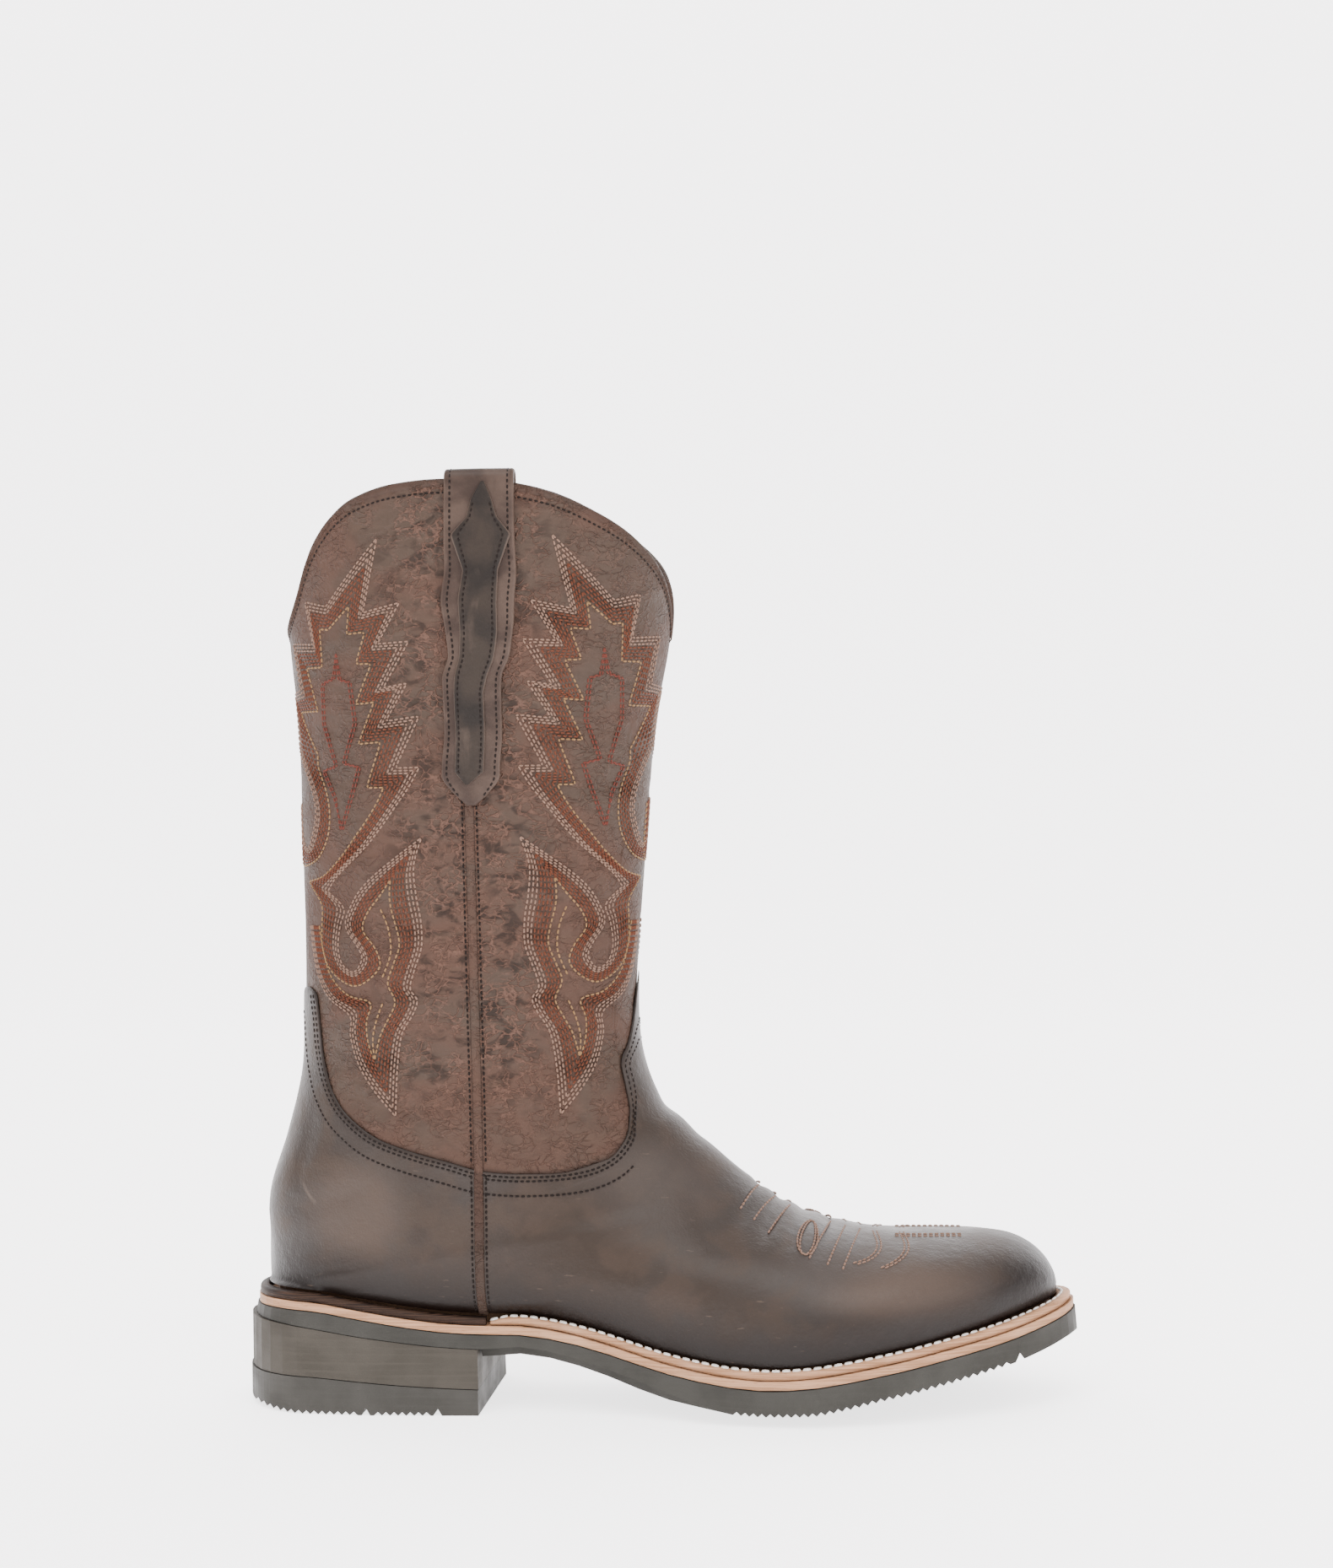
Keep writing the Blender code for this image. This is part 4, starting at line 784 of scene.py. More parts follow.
VAMP_CREASES = [
    (38, 78, 62, 12, 2.6, 0.9), (46, 73, 60, 12, 2.6, 0.9), (55, 69, 62, 12, 2.8, 0.9),
    (64, 65, 66, 11, 2.8, 0.7), (-4, 104, 28, 16, 4.0, 0.8), (8, 92, 34, 16, 4.0, 0.5),
    (-128, 96, 74, 14, 3.2, 0.5), (-118, 78, 20, 16, 4.0, 0.4), (20, 70, -58, 18, 5.0, 0.4),
]
placed = add_creases(points, normals, level, VAMP_CREASES)


def vamp_leather():
    """Oily pull-up leather: brown, with a painted cool grey sheen over the toe joint and on the instep, red-brown and
    dark where it is burnished.
    """
    material, nodes, links, shader, place = finish("vamp_leather", (0.12, 0.085, 0.065), 0.46, 0.12)
    cloud = noise(nodes, links, place, 16.0, 4.0, 0.4)
    mottle = noise(nodes, links, place, 70.0, 6.0, 0.3)
    tone = mixed(nodes, links, band(nodes, links, cloud, 0.40, 0.62), (0.092, 0.068, 0.054), (0.098, 0.085, 0.080))
    tone = mixed(nodes, links, band(nodes, links, mottle, 0.42, 0.66, 0.0, 0.7), tone, (0.135, 0.098, 0.075))
    tone = mixed(nodes, links, measure(nodes, "warm"), tone, (0.230, 0.178, 0.150))
    # Painted highlight: cool grey sheen laid over the vamp's top at the toe joint and on the instep.
    tone = mixed(nodes, links, measure(nodes, "painted_sheen"), tone, (0.190, 0.178, 0.178))
    tone = mixed(nodes, links, measure(nodes, "burnish"), tone, (0.020, 0.011, 0.008))
    tone = mixed(nodes, links, measure(nodes, "scuff"), tone, (0.40, 0.33, 0.28))
    scratch = noise(nodes, links, stretched(nodes, links, place, (1, 1, 5)), 160.0, 3.0, 0.2)
    tone = mixed(nodes, links, band(nodes, links, scratch, 0.68, 0.78, 0.0, 0.5), tone, (0.27, 0.215, 0.175))
    tone = mixed(nodes, links, measure(nodes, "edge_dark"), tone, (0.040, 0.026, 0.020))
    links.new(tone, shader.inputs["Base Color"])
    links.new(band(nodes, links, mottle, 0.3, 0.7, 0.38, 0.52), shader.inputs["Roughness"])
    grain = noise(nodes, links, place, 1100.0, 5.0)
    pores = noise(nodes, links, place, 300.0, 3.0)
    raised(nodes, links, shader, [(cloud, 0.0008), (pores, 0.0003), (grain, 0.0002)])
    return material


x, z = points[:, 0], points[:, 2]
above_rim = z - feather_level(x)
toe_cap = ease(x, 118, 146)
burnish = np.clip(1.0 * ease(-above_rim, -24, 0) + 1.0 * toe_cap, 0, 1.0)
warm = ease(-np.hypot((x - 92) / 42, (z - 46) / 14), -1.0, -0.2)
warm = np.maximum(warm, ease(-np.hypot((x + 108) / 26, (z - 74) / 26), -1.0, -0.3) * 0.6)
# Painted highlight: two patches of cool grey sheen, one over the toe joint and one on the instep.
painted_sheen = ease(-np.hypot((x - 62) / 30, (z - 54) / 12), -1.0, -0.1) * 0.55
painted_sheen = np.maximum(painted_sheen, ease(-np.hypot((x - 4) / 40, (z - 84) / 20), -1.0, -0.2) * 0.35)
scuffed = np.hypot((x + 127 + 0.7 * (z - 80)) / 1.1, (z - 80) / 6)
scuff = ease(-scuffed, -1.0, 0.0) * 0.5 * (points[:, 1] < 0)
edge_row = np.tile(np.repeat(np.arange(len(lines)), FOOT_TURNS), 2)
edge_dark = np.where(edge_row < 3, 0.85, 0.5 * ease(-edge_row, -6, -3))
vamp = vamp_leather()
sheet_mesh(
    "vamp_and_counter", placed, quads, vamp, ["upper"],
    {"scuff": scuff, "burnish": burnish, "warm": warm, "painted_sheen": painted_sheen, "edge_dark": edge_dark},
)

# Collar edge: the shaft leather is turned over the lining and stitched down, so the rim is a soft roll.
# It follows the scallop all the way round.
RIM_TURNS = 160
rim_turns = np.linspace(0, 1, RIM_TURNS)
rim_line = collar_lines(rim_turns)[None, :]
pair = np.vstack([rim_line, rim_line + 0.02])
points, normals, _, _ = skin(pair, rim_turns, 0.0)
count = RIM_TURNS
outer_run, inner_run = np.arange(count), np.arange(count) + 2 * count
loop = np.concatenate([outer_run, inner_run[::-1][1:-1]])
rim_points, rim_normals = points[loop], normals[loop]
ROLL = [(-2.35, -5.0), (-2.5, -1.6), (-2.3, 0.2), (-1.6, 0.95), (-0.8, 0.95), (0.0, 0.3), (0.22, -0.6), (0.12, -1.6), (-0.45, -2.2)]
rows = []
for out, up in ROLL:
    row = rim_points + rim_normals * out
    row[:, 2] += up
    rows.append(row)
points = np.stack(rows, 1)
points = np.concatenate([points, points[:1]])
rim_quads = loft(points.shape[:2], closed=False)
flat_points = points.reshape(-1, 3)
sheet_mesh(
    "collar_roll", flat_points, rim_quads, shaft, (),
    {"crackle": np.full(len(flat_points), 0.3), "edge_dark": np.full(len(flat_points), 0.25)},
)

# Side seams: a narrow piping strip over each joint of the panels, held by a row of dark stitches.
# It runs from the pull strap down to the welt on both sides.
PIPING_HALF = 1.75
PIPING_TOP = 300.0
dark_thread = thread("dark_brown_thread", (0.030, 0.018, 0.014))


def on_upper(x, z, side, lift=0.0):
    """Points and normals of the upper's outer face above side-view points."""
    x, z = np.asarray(x, float), np.asarray(z, float)
    step = 0.25
    here = surface(x, z, side)
    across = surface(x + step, z, side) - surface(x - step, z, side)
    up = surface(x, z + step, side) - surface(x, z - step, side)
    normals = np.cross(across, up)
    normals *= np.sign(normals[..., 1:2] * side + 1e-12)
    normals /= np.linalg.norm(normals, axis=-1)[..., None]
    return here + normals * lift, normals


piping_z = np.linspace(PIPING_TOP, float(feather_level(SEAM_X)) + 0.2, 220)
for side, word in ((OUTER, "outer"), (INNER, "inner")):
    base = np.where(piping_z < 89.2, OVERLAY_FACE, SHAFT_FACE)
    base = np.convolve(np.pad(base, 3, mode="edge"), np.full(7, 1 / 7), mode="valid")
    rows = []
    for u, rise in ((-1.0, -0.1), (-0.95, 0.25), (-0.8, 0.52), (0, 0.66), (0.8, 0.52), (0.95, 0.25), (1.0, -0.1)):
        spots, up = on_upper(np.full(len(piping_z), SEAM_X + u * PIPING_HALF), piping_z, side)
        rows.append(spots + up * (base + rise)[:, None])
    points = np.stack(rows, 1)
    worn = np.maximum(np.array((0.9, 0.6, 0.1, 0.0, 0.1, 0.6, 0.9))[None, :], np.where(piping_z < 89, 0.45, 0.0)[:, None])
    marks = {"crackle": np.full(worn.size, 0.1), "edge_dark": worn.ravel()}
    quads = loft(points.shape[:2], False)
    name = f"side_piping_{word}"
    sheet_mesh(name, points.reshape(-1, 3), quads, shaft, (), marks)

# Flame stitching: rows of thread that quilt both panels, drawn once and mirrored about the side seam.
# Each band runs between two matched lines of corners, given as distance from the seam and height.
# Outer rows are pale pink, the middle rows rust and the inner edge gold.
PANEL_STEP = 2.0
VIEW_FROM = np.array([92.6, -990.2])
VIEW_AHEAD = np.array([-0.0871, 0.9962])
panel_heights = np.arange(96.0, 332.0, PANEL_STEP)
panel_shares = (1 - np.cos(np.pi * np.linspace(0, 1, 241))) / 2


def flat_view(spots):
    """Sideways place of points as the photograph shows them."""
    from_eye = spots[:, :2] - VIEW_FROM
    return (from_eye[:, 0] * VIEW_AHEAD[1] - from_eye[:, 1] * VIEW_AHEAD[0]) / (from_eye @ VIEW_AHEAD)


def panel_table(side):
    """At each height: plan points round the shaft, their distance from the side seam and their place in view."""
    spots, distances, views = [], [], []
    for height in panel_heights:
        back = np.interp(-height, -SHAFT_BACK[:, 1], SHAFT_BACK[:, 0])
        front = np.interp(-height, -SHAFT_FRONT[:, 1], SHAFT_FRONT[:, 0])
        xs = back + panel_shares * (front - back)
        around = surface(xs, np.full(len(xs), height), side)
        around[[0, -1], 1] = middle_y(xs[[0, -1]])
        run = np.concatenate([[0], np.cumsum(np.linalg.norm(np.diff(around, axis=0), axis=1))])
        distances.append(run - np.interp(SEAM_X, xs, run))
        spots.append(around)
        seen = flat_view(around)
        depth = -VIEW_FROM[1] + np.interp(SEAM_X, xs, around[:, 1])
        views.append((seen - np.interp(SEAM_X, xs, seen)) * depth)
    return np.array(spots), np.array(distances), np.array(views)


front_rows = np.linspace(0, 7, 400)
SHAFT_FRONT = np.column_stack(fan_line(front_rows)[:2])
SHAFT_BACK = np.column_stack(fan_line(np.linspace(0, 9, 400))[2:])
PANEL = {side: panel_table(side) for side in (OUTER, INNER)}


def unrolled(corners):
    """Corners read off the photograph's back panel, with their distance measured along the leather."""
    spots, distances, views = PANEL[OUTER]
    result = []
    for offset, height in corners:
        row = int(round((height - panel_heights[0]) / PANEL_STEP))
        edge = views[row].argmin()
        behind = slice(edge, int(np.searchsorted(spots[row][:, 0], SEAM_X)) + 1)
        result.append((-np.interp(-offset, views[row][behind], distances[row][behind]), height))
    return result


def on_panel(reach, height, side):
    """Point of the shaft at a distance from the seam, forwards positive, passing over front or back."""
    spots, distances, _ = PANEL[side]
    level = np.clip((height - panel_heights[0]) / PANEL_STEP, 0, len(panel_heights) - 1.001)
    low = level.astype(int)
    share = (level - low)[:, None]
    result = np.zeros((len(reach), 3))
    for k, (s, i, w) in enumerate(zip(reach, low, share)):
        pair = []
        for row in (i, i + 1):
            first, last = distances[row][0], distances[row][-1]
            folded = 2 * last - s if s > last else (2 * first - s if s < first else s)
            spot = np.array([np.interp(folded, distances[row], spots[row][:, c]) for c in range(3)])
            if s > last or s < first:
                spot[1] = 2 * middle_y(spot[0]) - spot[1]
            pair.append(spot)
        result[k] = pair[0] + w * (pair[1] - pair[0])
    return result


def panel_run(reach, height, side, lift=0.0):
    """Stitch run on a panel: surface points and normals along a drawn line."""
    spots = on_panel(reach, height, side)
    ahead, above = on_panel(reach + 0.6, height, side), on_panel(reach, height + 0.6, side)
    normals = np.cross(ahead - spots, above - spots) * -side * -1.0
    normals /= np.linalg.norm(normals, axis=1)[:, None] + 1e-9
    outward = spots - np.column_stack([np.full(len(spots), SEAM_X), np.zeros(len(spots)), spots[:, 2]])
    normals *= np.sign(np.sum(normals * outward, axis=1))[:, None]
    return spots + normals * (SHAFT_FACE + lift), normals


def smooth_line(corners, steps=9):
    """Catmull-Rom line through a short list of points."""
    p = np.array([corners[0], *corners, corners[-1]], float)
    u = np.linspace(0, 1, steps, endpoint=False)[:, None]
    runs = []
    for a, b, c, d in zip(p, p[1:], p[2:], p[3:]):
        runs.append(0.5 * (2 * b + (c - a) * u + (2 * a - 5 * b + 4 * c - d) * u ** 2 + (3 * b - a - 3 * c + d) * u ** 3))
    return np.vstack(runs + [p[-1:]])


def dense_line(corners, step=1.0):
    """Straight runs between corners, cut into short steps."""
    corners = np.array(corners, float)
    parts = []
    for a, b in zip(corners, corners[1:]):
        count = max(2, int(np.linalg.norm(b - a) / step))
        parts.append(a + (b - a) * np.linspace(0, 1, count, endpoint=False)[:, None])
    return np.vstack(parts + [corners[-1:]])


# Bands: outer and inner line with equal numbers of corners, their ends out of sight, and whether they curve
BANDS = [
    ([(30.5, 319), (36, 292.5), (23, 295.5), (31, 281), (20, 281.5), (29.5, 265), (21, 266.5), (29, 253),
      (17, 254.5), (26, 236), (17.5, 236)], [],
     [(41, 295), (42, 285), (35.5, 285.5), (39, 274), (33.5, 274), (39.5, 259.5), (33, 260), (39, 245),
      (31, 245.5), (36.5, 229), (30.5, 229)], [], False),
    ([(17.5, 236), (21.5, 229), (26.5, 222), (31.5, 215), (37.5, 207.5), (44.5, 200.5), (49, 195.5), (51.5, 191)], [],
     [(30.5, 229), (33, 223.5), (37, 217), (41, 211.5), (45.5, 205), (50.5, 199), (54, 196), (58, 194.5)], [], True),
    ([(30.5, 319), (49, 295.5), (56.5, 298), (54, 282), (61, 283), (59, 265.5), (61.5, 264.5), (60.5, 245)], [],
     [(41, 295), (48.5, 287), (51.5, 287.5), (51, 273.5), (56.5, 273.5), (53, 257.5), (59, 257.5), (53.5, 241.5)], [],
     False),
    ([(60.5, 245), (58.5, 237), (56, 228), (55, 219), (57, 209.5), (58.5, 206.5)], [(80, 212), (82, 224)],
     [(53.5, 241.5), (53.5, 237), (51, 228), (50, 219), (51.5, 209.5), (56, 202)], [(84, 202), (88, 222)], True),
    ([(51.5, 191), (46, 185), (47.5, 178.5), (48.5, 170), (47, 164), (43, 161.5), (40, 166.5), (41.5, 171),
      (45.5, 178), (44, 184.5), (37.5, 194.5), (17.5, 210.5)], [],
     [(58, 194.5), (54, 186.5), (54, 178.5), (54, 170), (51, 161.5), (42.5, 156.5), (34, 163), (35, 170),
      (39.5, 177), (37.5, 183.5), (33, 189.5), (29, 195.5)], [], True),
    ([(17.5, 210.5), (20.5, 200.5), (20, 190), (18.5, 180.5), (18.5, 171), (21.5, 162), (23, 155.5), (20.5, 151.5),
      (22.5, 146), (26.5, 139), (28.5, 126), (29.5, 109)], [],
     [(29, 195.5), (29.5, 190), (29, 184.5), (27, 176.5), (26.5, 171), (29, 164), (31, 157.5), (28.5, 151),
      (31, 145), (34, 139), (35.5, 134), (36.5, 129.5)], [], True),
    ([(58, 178.5), (57.5, 170), (56, 160), (52.5, 152), (45, 145.5), (45, 138), (42.5, 128), (37.5, 119),
      (29.5, 109)], [],
     [(55, 178.5), (54, 170), (51.5, 160), (45.5, 153), (37.5, 150.5), (39, 144), (39, 138), (38, 133),
      (36.5, 129.5)], [], True),
]
VEINS = [
    [(33, 185), (30.5, 178.5), (29.5, 172), (30, 167), (33, 159.5)],
    [(33, 150.5), (35.5, 144), (37, 137), (36.5, 129.5)],
]
MOTIF = [
    [(46, 278.5), (47.5, 269), (51.5, 267.5), (51.5, 252.5), (47.5, 237), (52, 235.5), (48.5, 226), (45.5, 213.5)],
    [(46, 278.5), (44.5, 268.5), (41, 267.5), (39.5, 252.5), (44, 238), (38.5, 236.5), (41.5, 226), (45.5, 213.5)],
]
MOTIF_INSET = 1.3
BAND_ROWS = 8
ROW_THREADS = ["pink", "pink", "pink", "rust", "rust", "rust", "rust", "gold"]
THREADS = {
    "pink": thread("pale_pink_thread", (0.84, 0.58, 0.47)),
    "rust": thread("rust_thread", (0.46, 0.165, 0.095)),
    "gold": thread("gold_thread", (0.95, 0.62, 0.32)),
    "red": thread("faded_red_thread", (0.46, 0.13, 0.10)),
}
sewn = {name: [] for name in THREADS}
for side in (OUTER, INNER):
    for way in (-1, 1):
        for outer_line, outer_end, inner_line, inner_end, curved in BANDS:
            first, second = unrolled(outer_line) + outer_end, unrolled(inner_line) + inner_end
            first, second = (smooth_line(first), smooth_line(second)) if curved else np.array([first, second])
            for k, name in enumerate(ROW_THREADS):
                row = dense_line(first + (second - first) * k / (BAND_ROWS - 1))
                sewn[name].append(panel_run(row[:, 0] * way, row[:, 1], side, 0.05))
        for vein in VEINS:
            row = dense_line(smooth_line(unrolled(vein)))
            sewn["gold"].append(panel_run(row[:, 0] * way, row[:, 1], side, 0.05))
        for corners in MOTIF:
            for inset in (0.0, MOTIF_INSET):
                row = np.array(unrolled(corners))
                row[:, 0] += inset * np.sign(row[0, 0] - row[:, 0])
                row = dense_line(row)
                sewn["red"].append(panel_run(row[:, 0] * way, row[:, 1], side, 0.05))
for name, runs in sewn.items():
    stitches(f"flame_stitching_{name}", runs, 2.1, 0.74, 0.4, THREADS[name], 0.78)

# Seam threads: dark lockstitch along the lap of the vamp and counter, beside the piping and under the collar.
# Two rows sit just inside the cut edge and a third runs 8 mm below it.
EDGE_ROWS = (1.3, 2.7, 8.0)
edge_curve = smooth_line(OVERLAY_EDGE[2:-1], 12)
direction = np.gradient(edge_curve, axis=0)
direction /= np.linalg.norm(direction, axis=1)[:, None]
downwards = np.column_stack([direction[:, 1], -direction[:, 0]])
dark_runs = []
for side in (OUTER, INNER):
    for distance in EDGE_ROWS:
        path = edge_curve + downwards * distance
        keep = (path[:, 0] > -131) & (path[:, 0] < -6)
        dark_runs.append(on_upper(path[keep, 0], path[keep, 1], side, OVERLAY_FACE + 0.02))
    for x in (SEAM_X - PIPING_HALF - 0.9, SEAM_X + PIPING_HALF + 0.9):
        heights = np.linspace(PIPING_TOP, 92.0, 260)
        dark_runs.append(on_upper(np.full(len(heights), x), heights, side, SHAFT_FACE + 0.02))
        heights = np.linspace(88.0, float(feather_level(SEAM_X)) + 1.0, 90)
        dark_runs.append(on_upper(np.full(len(heights), x), heights, side, OVERLAY_FACE + 0.02))
for drop in (4.0,):
    lowered = collar_lines(rim_turns)[None, :] + np.array([[0.0], [0.02]]) + drop / 59.0
    points, normals, _, _ = skin(lowered, rim_turns, 0.0)
    loop = np.concatenate([outer_run, inner_run[::-1][1:-1], outer_run[:1]])
    dark_runs.append((points[loop] + normals[loop] * (SHAFT_FACE + 0.02), normals[loop]))
stitches("seam_stitching", dark_runs, 2.1, 0.75, 0.3, dark_thread, 0.72)

# Wrinkle stitching: pale bars, a small oval and paired curves across the vamp where the toes bend.
# Each line starts on the ridge and runs down both sides, and a double line runs on to the toe.
BARS = [(38.0, 32.0), (44.0, 37.0), (49.5, 42.5), (64.5, 57.5), (70.0, 64.0), (75.5, 69.5)]
BAR_DEPTH = 10.5
TOE_LINE = (88.0, 113.0)
pale_runs = []


def ridge_height(x):
    return np.interp(x, FRONT_X(np.linspace(9, TOE_ROW, 500)), FRONT_Z(np.linspace(9, TOE_ROW, 500)))


def vamp_run(xs, drops, side):
    """Run on the vamp at drops below the ridge line."""
    xs, drops = np.asarray(xs, float), np.maximum(np.asarray(drops, float), 0.12)
    return on_upper(xs, ridge_height(xs) - drops, side, OVERLAY_FACE - 0.05)


share = np.linspace(0, 1, 24)
for side in (OUTER, INNER):
    for top, foot in BARS:
        pale_runs.append(vamp_run(top + (foot - top) * share ** 1.2, 0.12 + BAR_DEPTH * share ** 1.6, side))
    for half in (3.4, 2.4):
        around = np.linspace(0, 2 * np.pi, 40)
        lean = -0.28 * (1 - np.cos(around)) * 4.5
        xs = 58.0 + half * np.sin(around) + lean
        pale_runs.append(vamp_run(xs, 1.0 + 4.6 * (1 - np.cos(around)), side))
    for start, bulge in ((80.0, 3.4), (81.5, 3.4), (90.0, 3.4), (91.5, 3.4)):
        xs = start + bulge * np.sin(share * np.pi * 0.9) - 8.0 * share ** 2
        pale_runs.append(vamp_run(xs, 0.12 + 8.0 * share ** 1.1, side))
    for offset in (1.1, 1.9):
        xs = np.linspace(*TOE_LINE, 40)
        pale_runs.append(vamp_run(xs, np.full(40, offset * 0.35), side))
stitches("wrinkle_stitching", pale_runs, 2.0, 0.85, 0.5, THREADS["pink"], 0.85)

# Pull straps: a doubled leather loop over the collar on each side, stitched close to its edges.
# A dark shaped leather with a raw pale edge is sewn on its outer face.
STRAP_SHAPE = [
    (222.0, -60.6, 1.5), (226.0, -60.6, 6.0), (233.0, -60.6, 10.6), (254.0, -59.4, 10.5), (272.0, -58.0, 10.9),
    (297.0, -56.0, 13.3), (310.0, -55.5, 12.9), (345.0, -55.1, 12.5),
]
STRAP_WAVE = [
    (222, 0.0), (234, 0.0), (246, 0.5), (258, -0.3), (268, -0.9), (276, 1.1), (286, 0.5), (296, -0.5),
    (306, 0.2), (318, -0.2), (345, 0.0),
]
STRAP_GAP, STRAP, STRAP_OVERLAY = 0.9, 1.9, 1.0
STRAP_FOLD, STRAP_INSIDE_END = 339.3, 276.0
STRAP_PROFILE = [(-1.0, -0.55), (-1.0, 0.3), (-0.975, 0.75), (-0.93, 1.0), (-0.84, 0.94), (-0.78, 1.0), (0.0, 1.06),
                 (0.78, 1.0), (0.84, 0.94), (0.93, 1.0), (0.975, 0.75), (1.0, 0.3), (1.0, -0.55), (0.0, -1.0)]


def strap_leather(name, base, dark, pale):
    material, nodes, links, shader, place = finish(name, base, 0.5, 0.08)
    cloud = noise(nodes, links, place, 60.0, 5.0, 0.4)
    rub = noise(nodes, links, stretched(nodes, links, place, (1, 1, 0.4)), 130.0, 5.0, 0.3)
    tone = mixed(nodes, links, band(nodes, links, cloud, 0.38, 0.64), dark, base)
    tone = mixed(nodes, links, band(nodes, links, rub, 0.58, 0.76, 0.0, 0.55), tone, pale)
    tone = mixed(nodes, links, measure(nodes, "raw_edge"), tone, pale)
    links.new(tone, shader.inputs["Base Color"])
    raised(nodes, links, shader, [(rub, 0.0003), (noise(nodes, links, place, 900.0, 4.0), 0.0002)])
    return material


strap_brown = strap_leather("strap_leather", (0.200, 0.145, 0.120), (0.095, 0.062, 0.050), (0.34, 0.25, 0.21))
motif_dark = strap_leather("overlay_leather", (0.078, 0.060, 0.048), (0.032, 0.024, 0.020), (0.30, 0.235, 0.20))
strap_middle = monotone([(z, m) for z, m, _ in STRAP_SHAPE])
strap_half = monotone([(z, h) for z, _, h in STRAP_SHAPE])
strap_wave = monotone(STRAP_WAVE)
outside = SHAFT_FACE + STRAP_GAP + STRAP / 2
inside = LINING_FACE - STRAP_GAP - STRAP / 2
strap_centre, strap_radius = (outside + inside) / 2, (outside - inside) / 2
strap_rows = [(z, outside, 0.0) for z in np.linspace(222.0, STRAP_FOLD, 110)]
for turn in np.linspace(0, math.pi, 24)[1:-1]:
    strap_rows.append(
        (STRAP_FOLD + strap_radius * math.sin(turn), strap_centre + strap_radius * math.cos(turn), turn)
    )
strap_rows += [(z, inside, math.pi) for z in np.linspace(STRAP_FOLD, STRAP_INSIDE_END, 40)]
heights, offsets, angles = np.array(strap_rows).T


def strap_points(across, rise, side):
    """Points of the strap at a share across and a share of its thickness, along its whole length."""
    low = np.minimum(heights, STRAP_FOLD)
    xs = strap_middle(heights) + strap_wave(heights) + across * (strap_half(heights) - 0.05)
    wall = np.abs(surface(xs, low, side)[:, 1])
    ys = side * (wall + offsets + rise * STRAP / 2 * np.cos(angles))
    return np.column_stack([xs, ys, heights + rise * STRAP / 2 * np.sin(angles)])


strap_runs = []
for side, word in ((OUTER, "outer"), (INNER, "inner")):
    points = np.stack([strap_points(a, r, side) for a, r in STRAP_PROFILE], 1)
    count, wide = points.shape[:2]
    ends = [tuple(range(wide))[::-1], tuple((count - 1) * wide + k for k in range(wide))]
    raw = np.tile([0.35 if abs(a) > 0.97 else 0.0 for a, _ in STRAP_PROFILE], count)
    sheet_mesh(
        f"pull_strap_leather_{word}", points.reshape(-1, 3), loft((count, wide)) + ends, strap_brown,
        [f"pull_strap_{word}"], {"raw_edge": raw},
    )
    for across in (-0.82, 0.82):
        path, above = strap_points(across, 0.96, side), strap_points(across, 1.6, side)
        strap_runs.append((path[3:-2], (above - path)[3:-2]))
stitches("strap_stitching", strap_runs, 2.1, 0.8, 0.3, dark_thread, 0.72)

# Strap overlay: height, front edge and back edge of the dark shaped leather
STRAP_MOTIF = [
    (229.5, -61.3, -62.3), (234.0, -55.7, -66.1), (254.3, -54.9, -65.6), (262.5, -54.6, -65.3),
    (271.2, -52.2, -64.4), (283.8, -49.9, -63.3), (296.4, -49.0, -62.9), (306.3, -48.8, -61.5),
    (319.0, -43.8, -65.4), (325.0, -48.6, -59.6), (332.0, -50.6, -57.6), (337.8, -53.0, -54.0),
]
MOTIF_PROFILE = [(-1.0, 0.0), (-1.0, 0.7), (-0.93, 1.0), (-0.72, 0.92), (0.0, 1.05), (0.72, 0.92), (0.93, 1.0),
                 (1.0, 0.7), (1.0, 0.0)]
motif_levels, motif_fronts, motif_backs = np.array(STRAP_MOTIF).T
motif_heights = np.linspace(229.5, 337.8, 120)
motif_near = SHAFT_FACE + STRAP_GAP + STRAP + GAP
motif_runs = []


def motif_points(across, rise, side):
    front, back = (np.interp(motif_heights, motif_levels, xs) for xs in (motif_fronts, motif_backs))
    xs = (front + back) / 2 + strap_wave(motif_heights) * 0.6 + across * (front - back) / 2
    wall = np.abs(surface(xs, motif_heights, side)[:, 1])
    return np.column_stack([xs, side * (wall + motif_near + rise * STRAP_OVERLAY), motif_heights])


for side, word in ((OUTER, "outer"), (INNER, "inner")):
    points = np.stack([motif_points(a, r, side) for a, r in MOTIF_PROFILE], 1)
    count, wide = points.shape[:2]
    raw = np.tile([0.9 if abs(a) > 0.99 else 0.0 for a, _ in MOTIF_PROFILE], count)
    sheet_mesh(
        f"strap_overlay_leather_{word}", points.reshape(-1, 3), loft((count, wide)), motif_dark,
        [f"strap_overlay_{word}"], {"raw_edge": raw},
    )
    for across in (-0.76, 0.76):
        path, above = motif_points(across, 0.95, side), motif_points(across, 1.6, side)
        motif_runs.append((path[4:-8], (above - path)[4:-8]))
stitches("overlay_stitching", motif_runs, 2.0, 0.7, 0.3, dark_thread, 0.72)

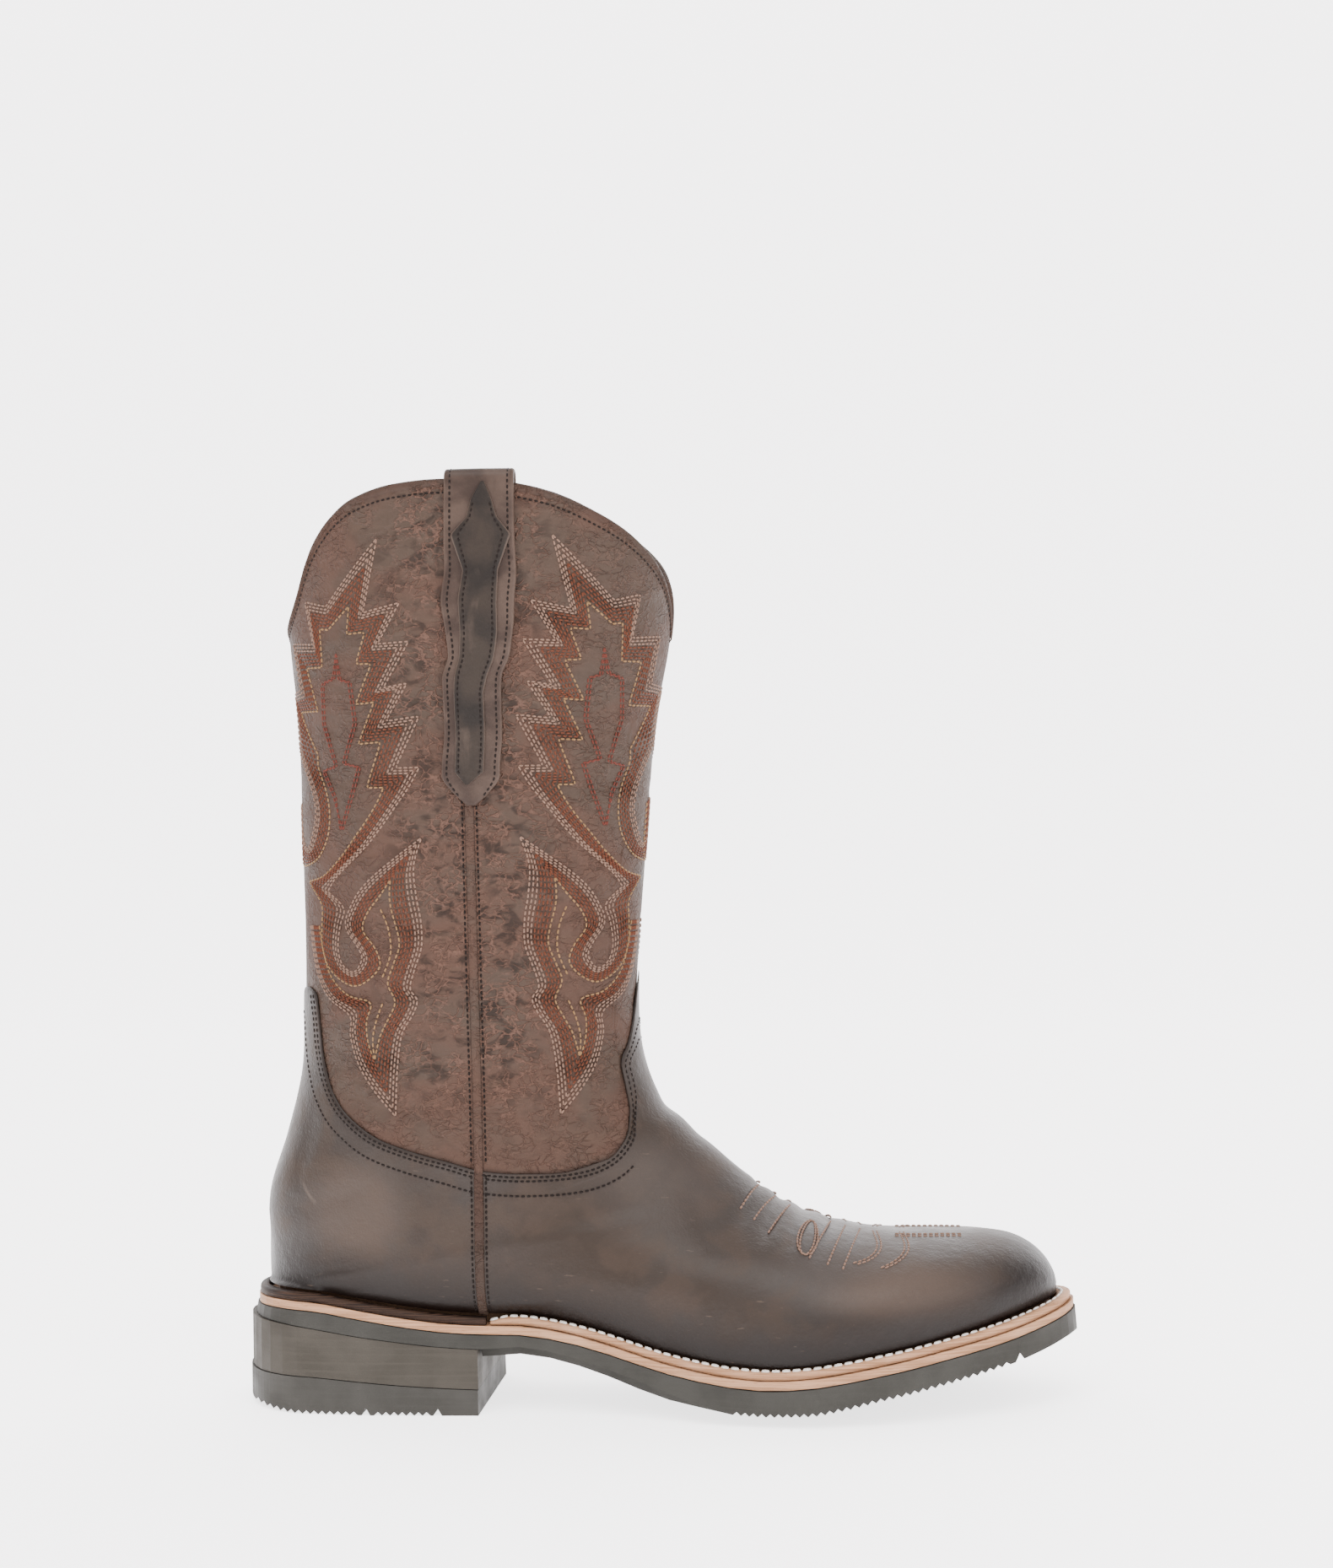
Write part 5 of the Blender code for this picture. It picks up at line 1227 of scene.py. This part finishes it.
# Camera, floor and light: the photograph's view from a little to the toe side, level with the shaft.
# Pale paper floor and wall, one wide soft key from above and weak fills.
CAMERA_AT = (0.0926, -0.9902, 0.2285)
CAMERA_LOOK = (0.006, 0.0, 0.2285)
FOCAL = 60.9
ROLL_DEGREES = 1.0
camera_data = bpy.data.cameras.new("photo_view")
camera = bpy.data.objects.new("photo_view", camera_data)
bpy.context.scene.collection.objects.link(camera)
camera.location = CAMERA_AT
camera.rotation_euler = (Vector(CAMERA_LOOK) - Vector(CAMERA_AT)).to_track_quat("-Z", "Y").to_euler()
camera.rotation_euler.rotate_axis("Z", math.radians(-ROLL_DEGREES))
camera_data.lens = FOCAL
camera_data.sensor_width = 36.0
bpy.context.scene.camera = camera

PAPER = (0.86, 0.845, 0.85)
PAPER_GLOW = 2.9
SWEEP_BEND = 1.6
paper_material = bpy.data.materials.new("pale_paper")
paper_material.use_nodes = True
paper_shader = paper_material.node_tree.nodes["Principled BSDF"]
paper_shader.inputs["Base Color"].default_value = (*PAPER, 1)
paper_shader.inputs["Roughness"].default_value = 0.9
paper_shader.inputs["Emission Color"].default_value = (*PAPER, 1)
paper_shader.inputs["Emission Strength"].default_value = PAPER_GLOW
bends = np.linspace(0, math.pi / 2, 40)
sweep = [(-5.0, 0.0)] + [(1.4 + SWEEP_BEND * math.sin(t), SWEEP_BEND * (1 - math.cos(t))) for t in bends] + [(3.0, 6.0)]
corners = [(x, y, z) for y, z in sweep for x in (-7.0, 7.0)]
floor_mesh = bpy.data.meshes.new("paper_floor")
floor_mesh.from_pydata(corners, [], [(2 * k, 2 * k + 1, 2 * k + 3, 2 * k + 2) for k in range(len(sweep) - 1)])
floor_mesh.shade_smooth()
floor_mesh.materials.append(paper_material)
floor = bpy.data.objects.new("paper_floor", floor_mesh)
bpy.context.scene.collection.objects.link(floor)

world = bpy.data.worlds.new("soft_room")
bpy.context.scene.world = world
world.use_nodes = True
world.node_tree.nodes["Background"].inputs["Color"].default_value = (0.865, 0.85, 0.857, 1)
world.node_tree.nodes["Background"].inputs["Strength"].default_value = 2.0


def soft_light(name, place, aim, size, power):
    """Square panel of soft white light aimed at the boot."""
    data = bpy.data.lights.new(name, "AREA")
    data.size, data.energy = size, power
    lamp = bpy.data.objects.new(name, data)
    lamp.location = place
    lamp.rotation_euler = (Vector(aim) - Vector(place)).to_track_quat("-Z", "Y").to_euler()
    bpy.context.scene.collection.objects.link(lamp)


soft_light("key_panel", (-0.2, -1.2, 1.9), (0.0, 0.0, 0.15), 1.6, 50.0)
soft_light("front_fill", (1.3, -1.3, 0.9), (0.0, 0.0, 0.15), 1.2, 14.0)
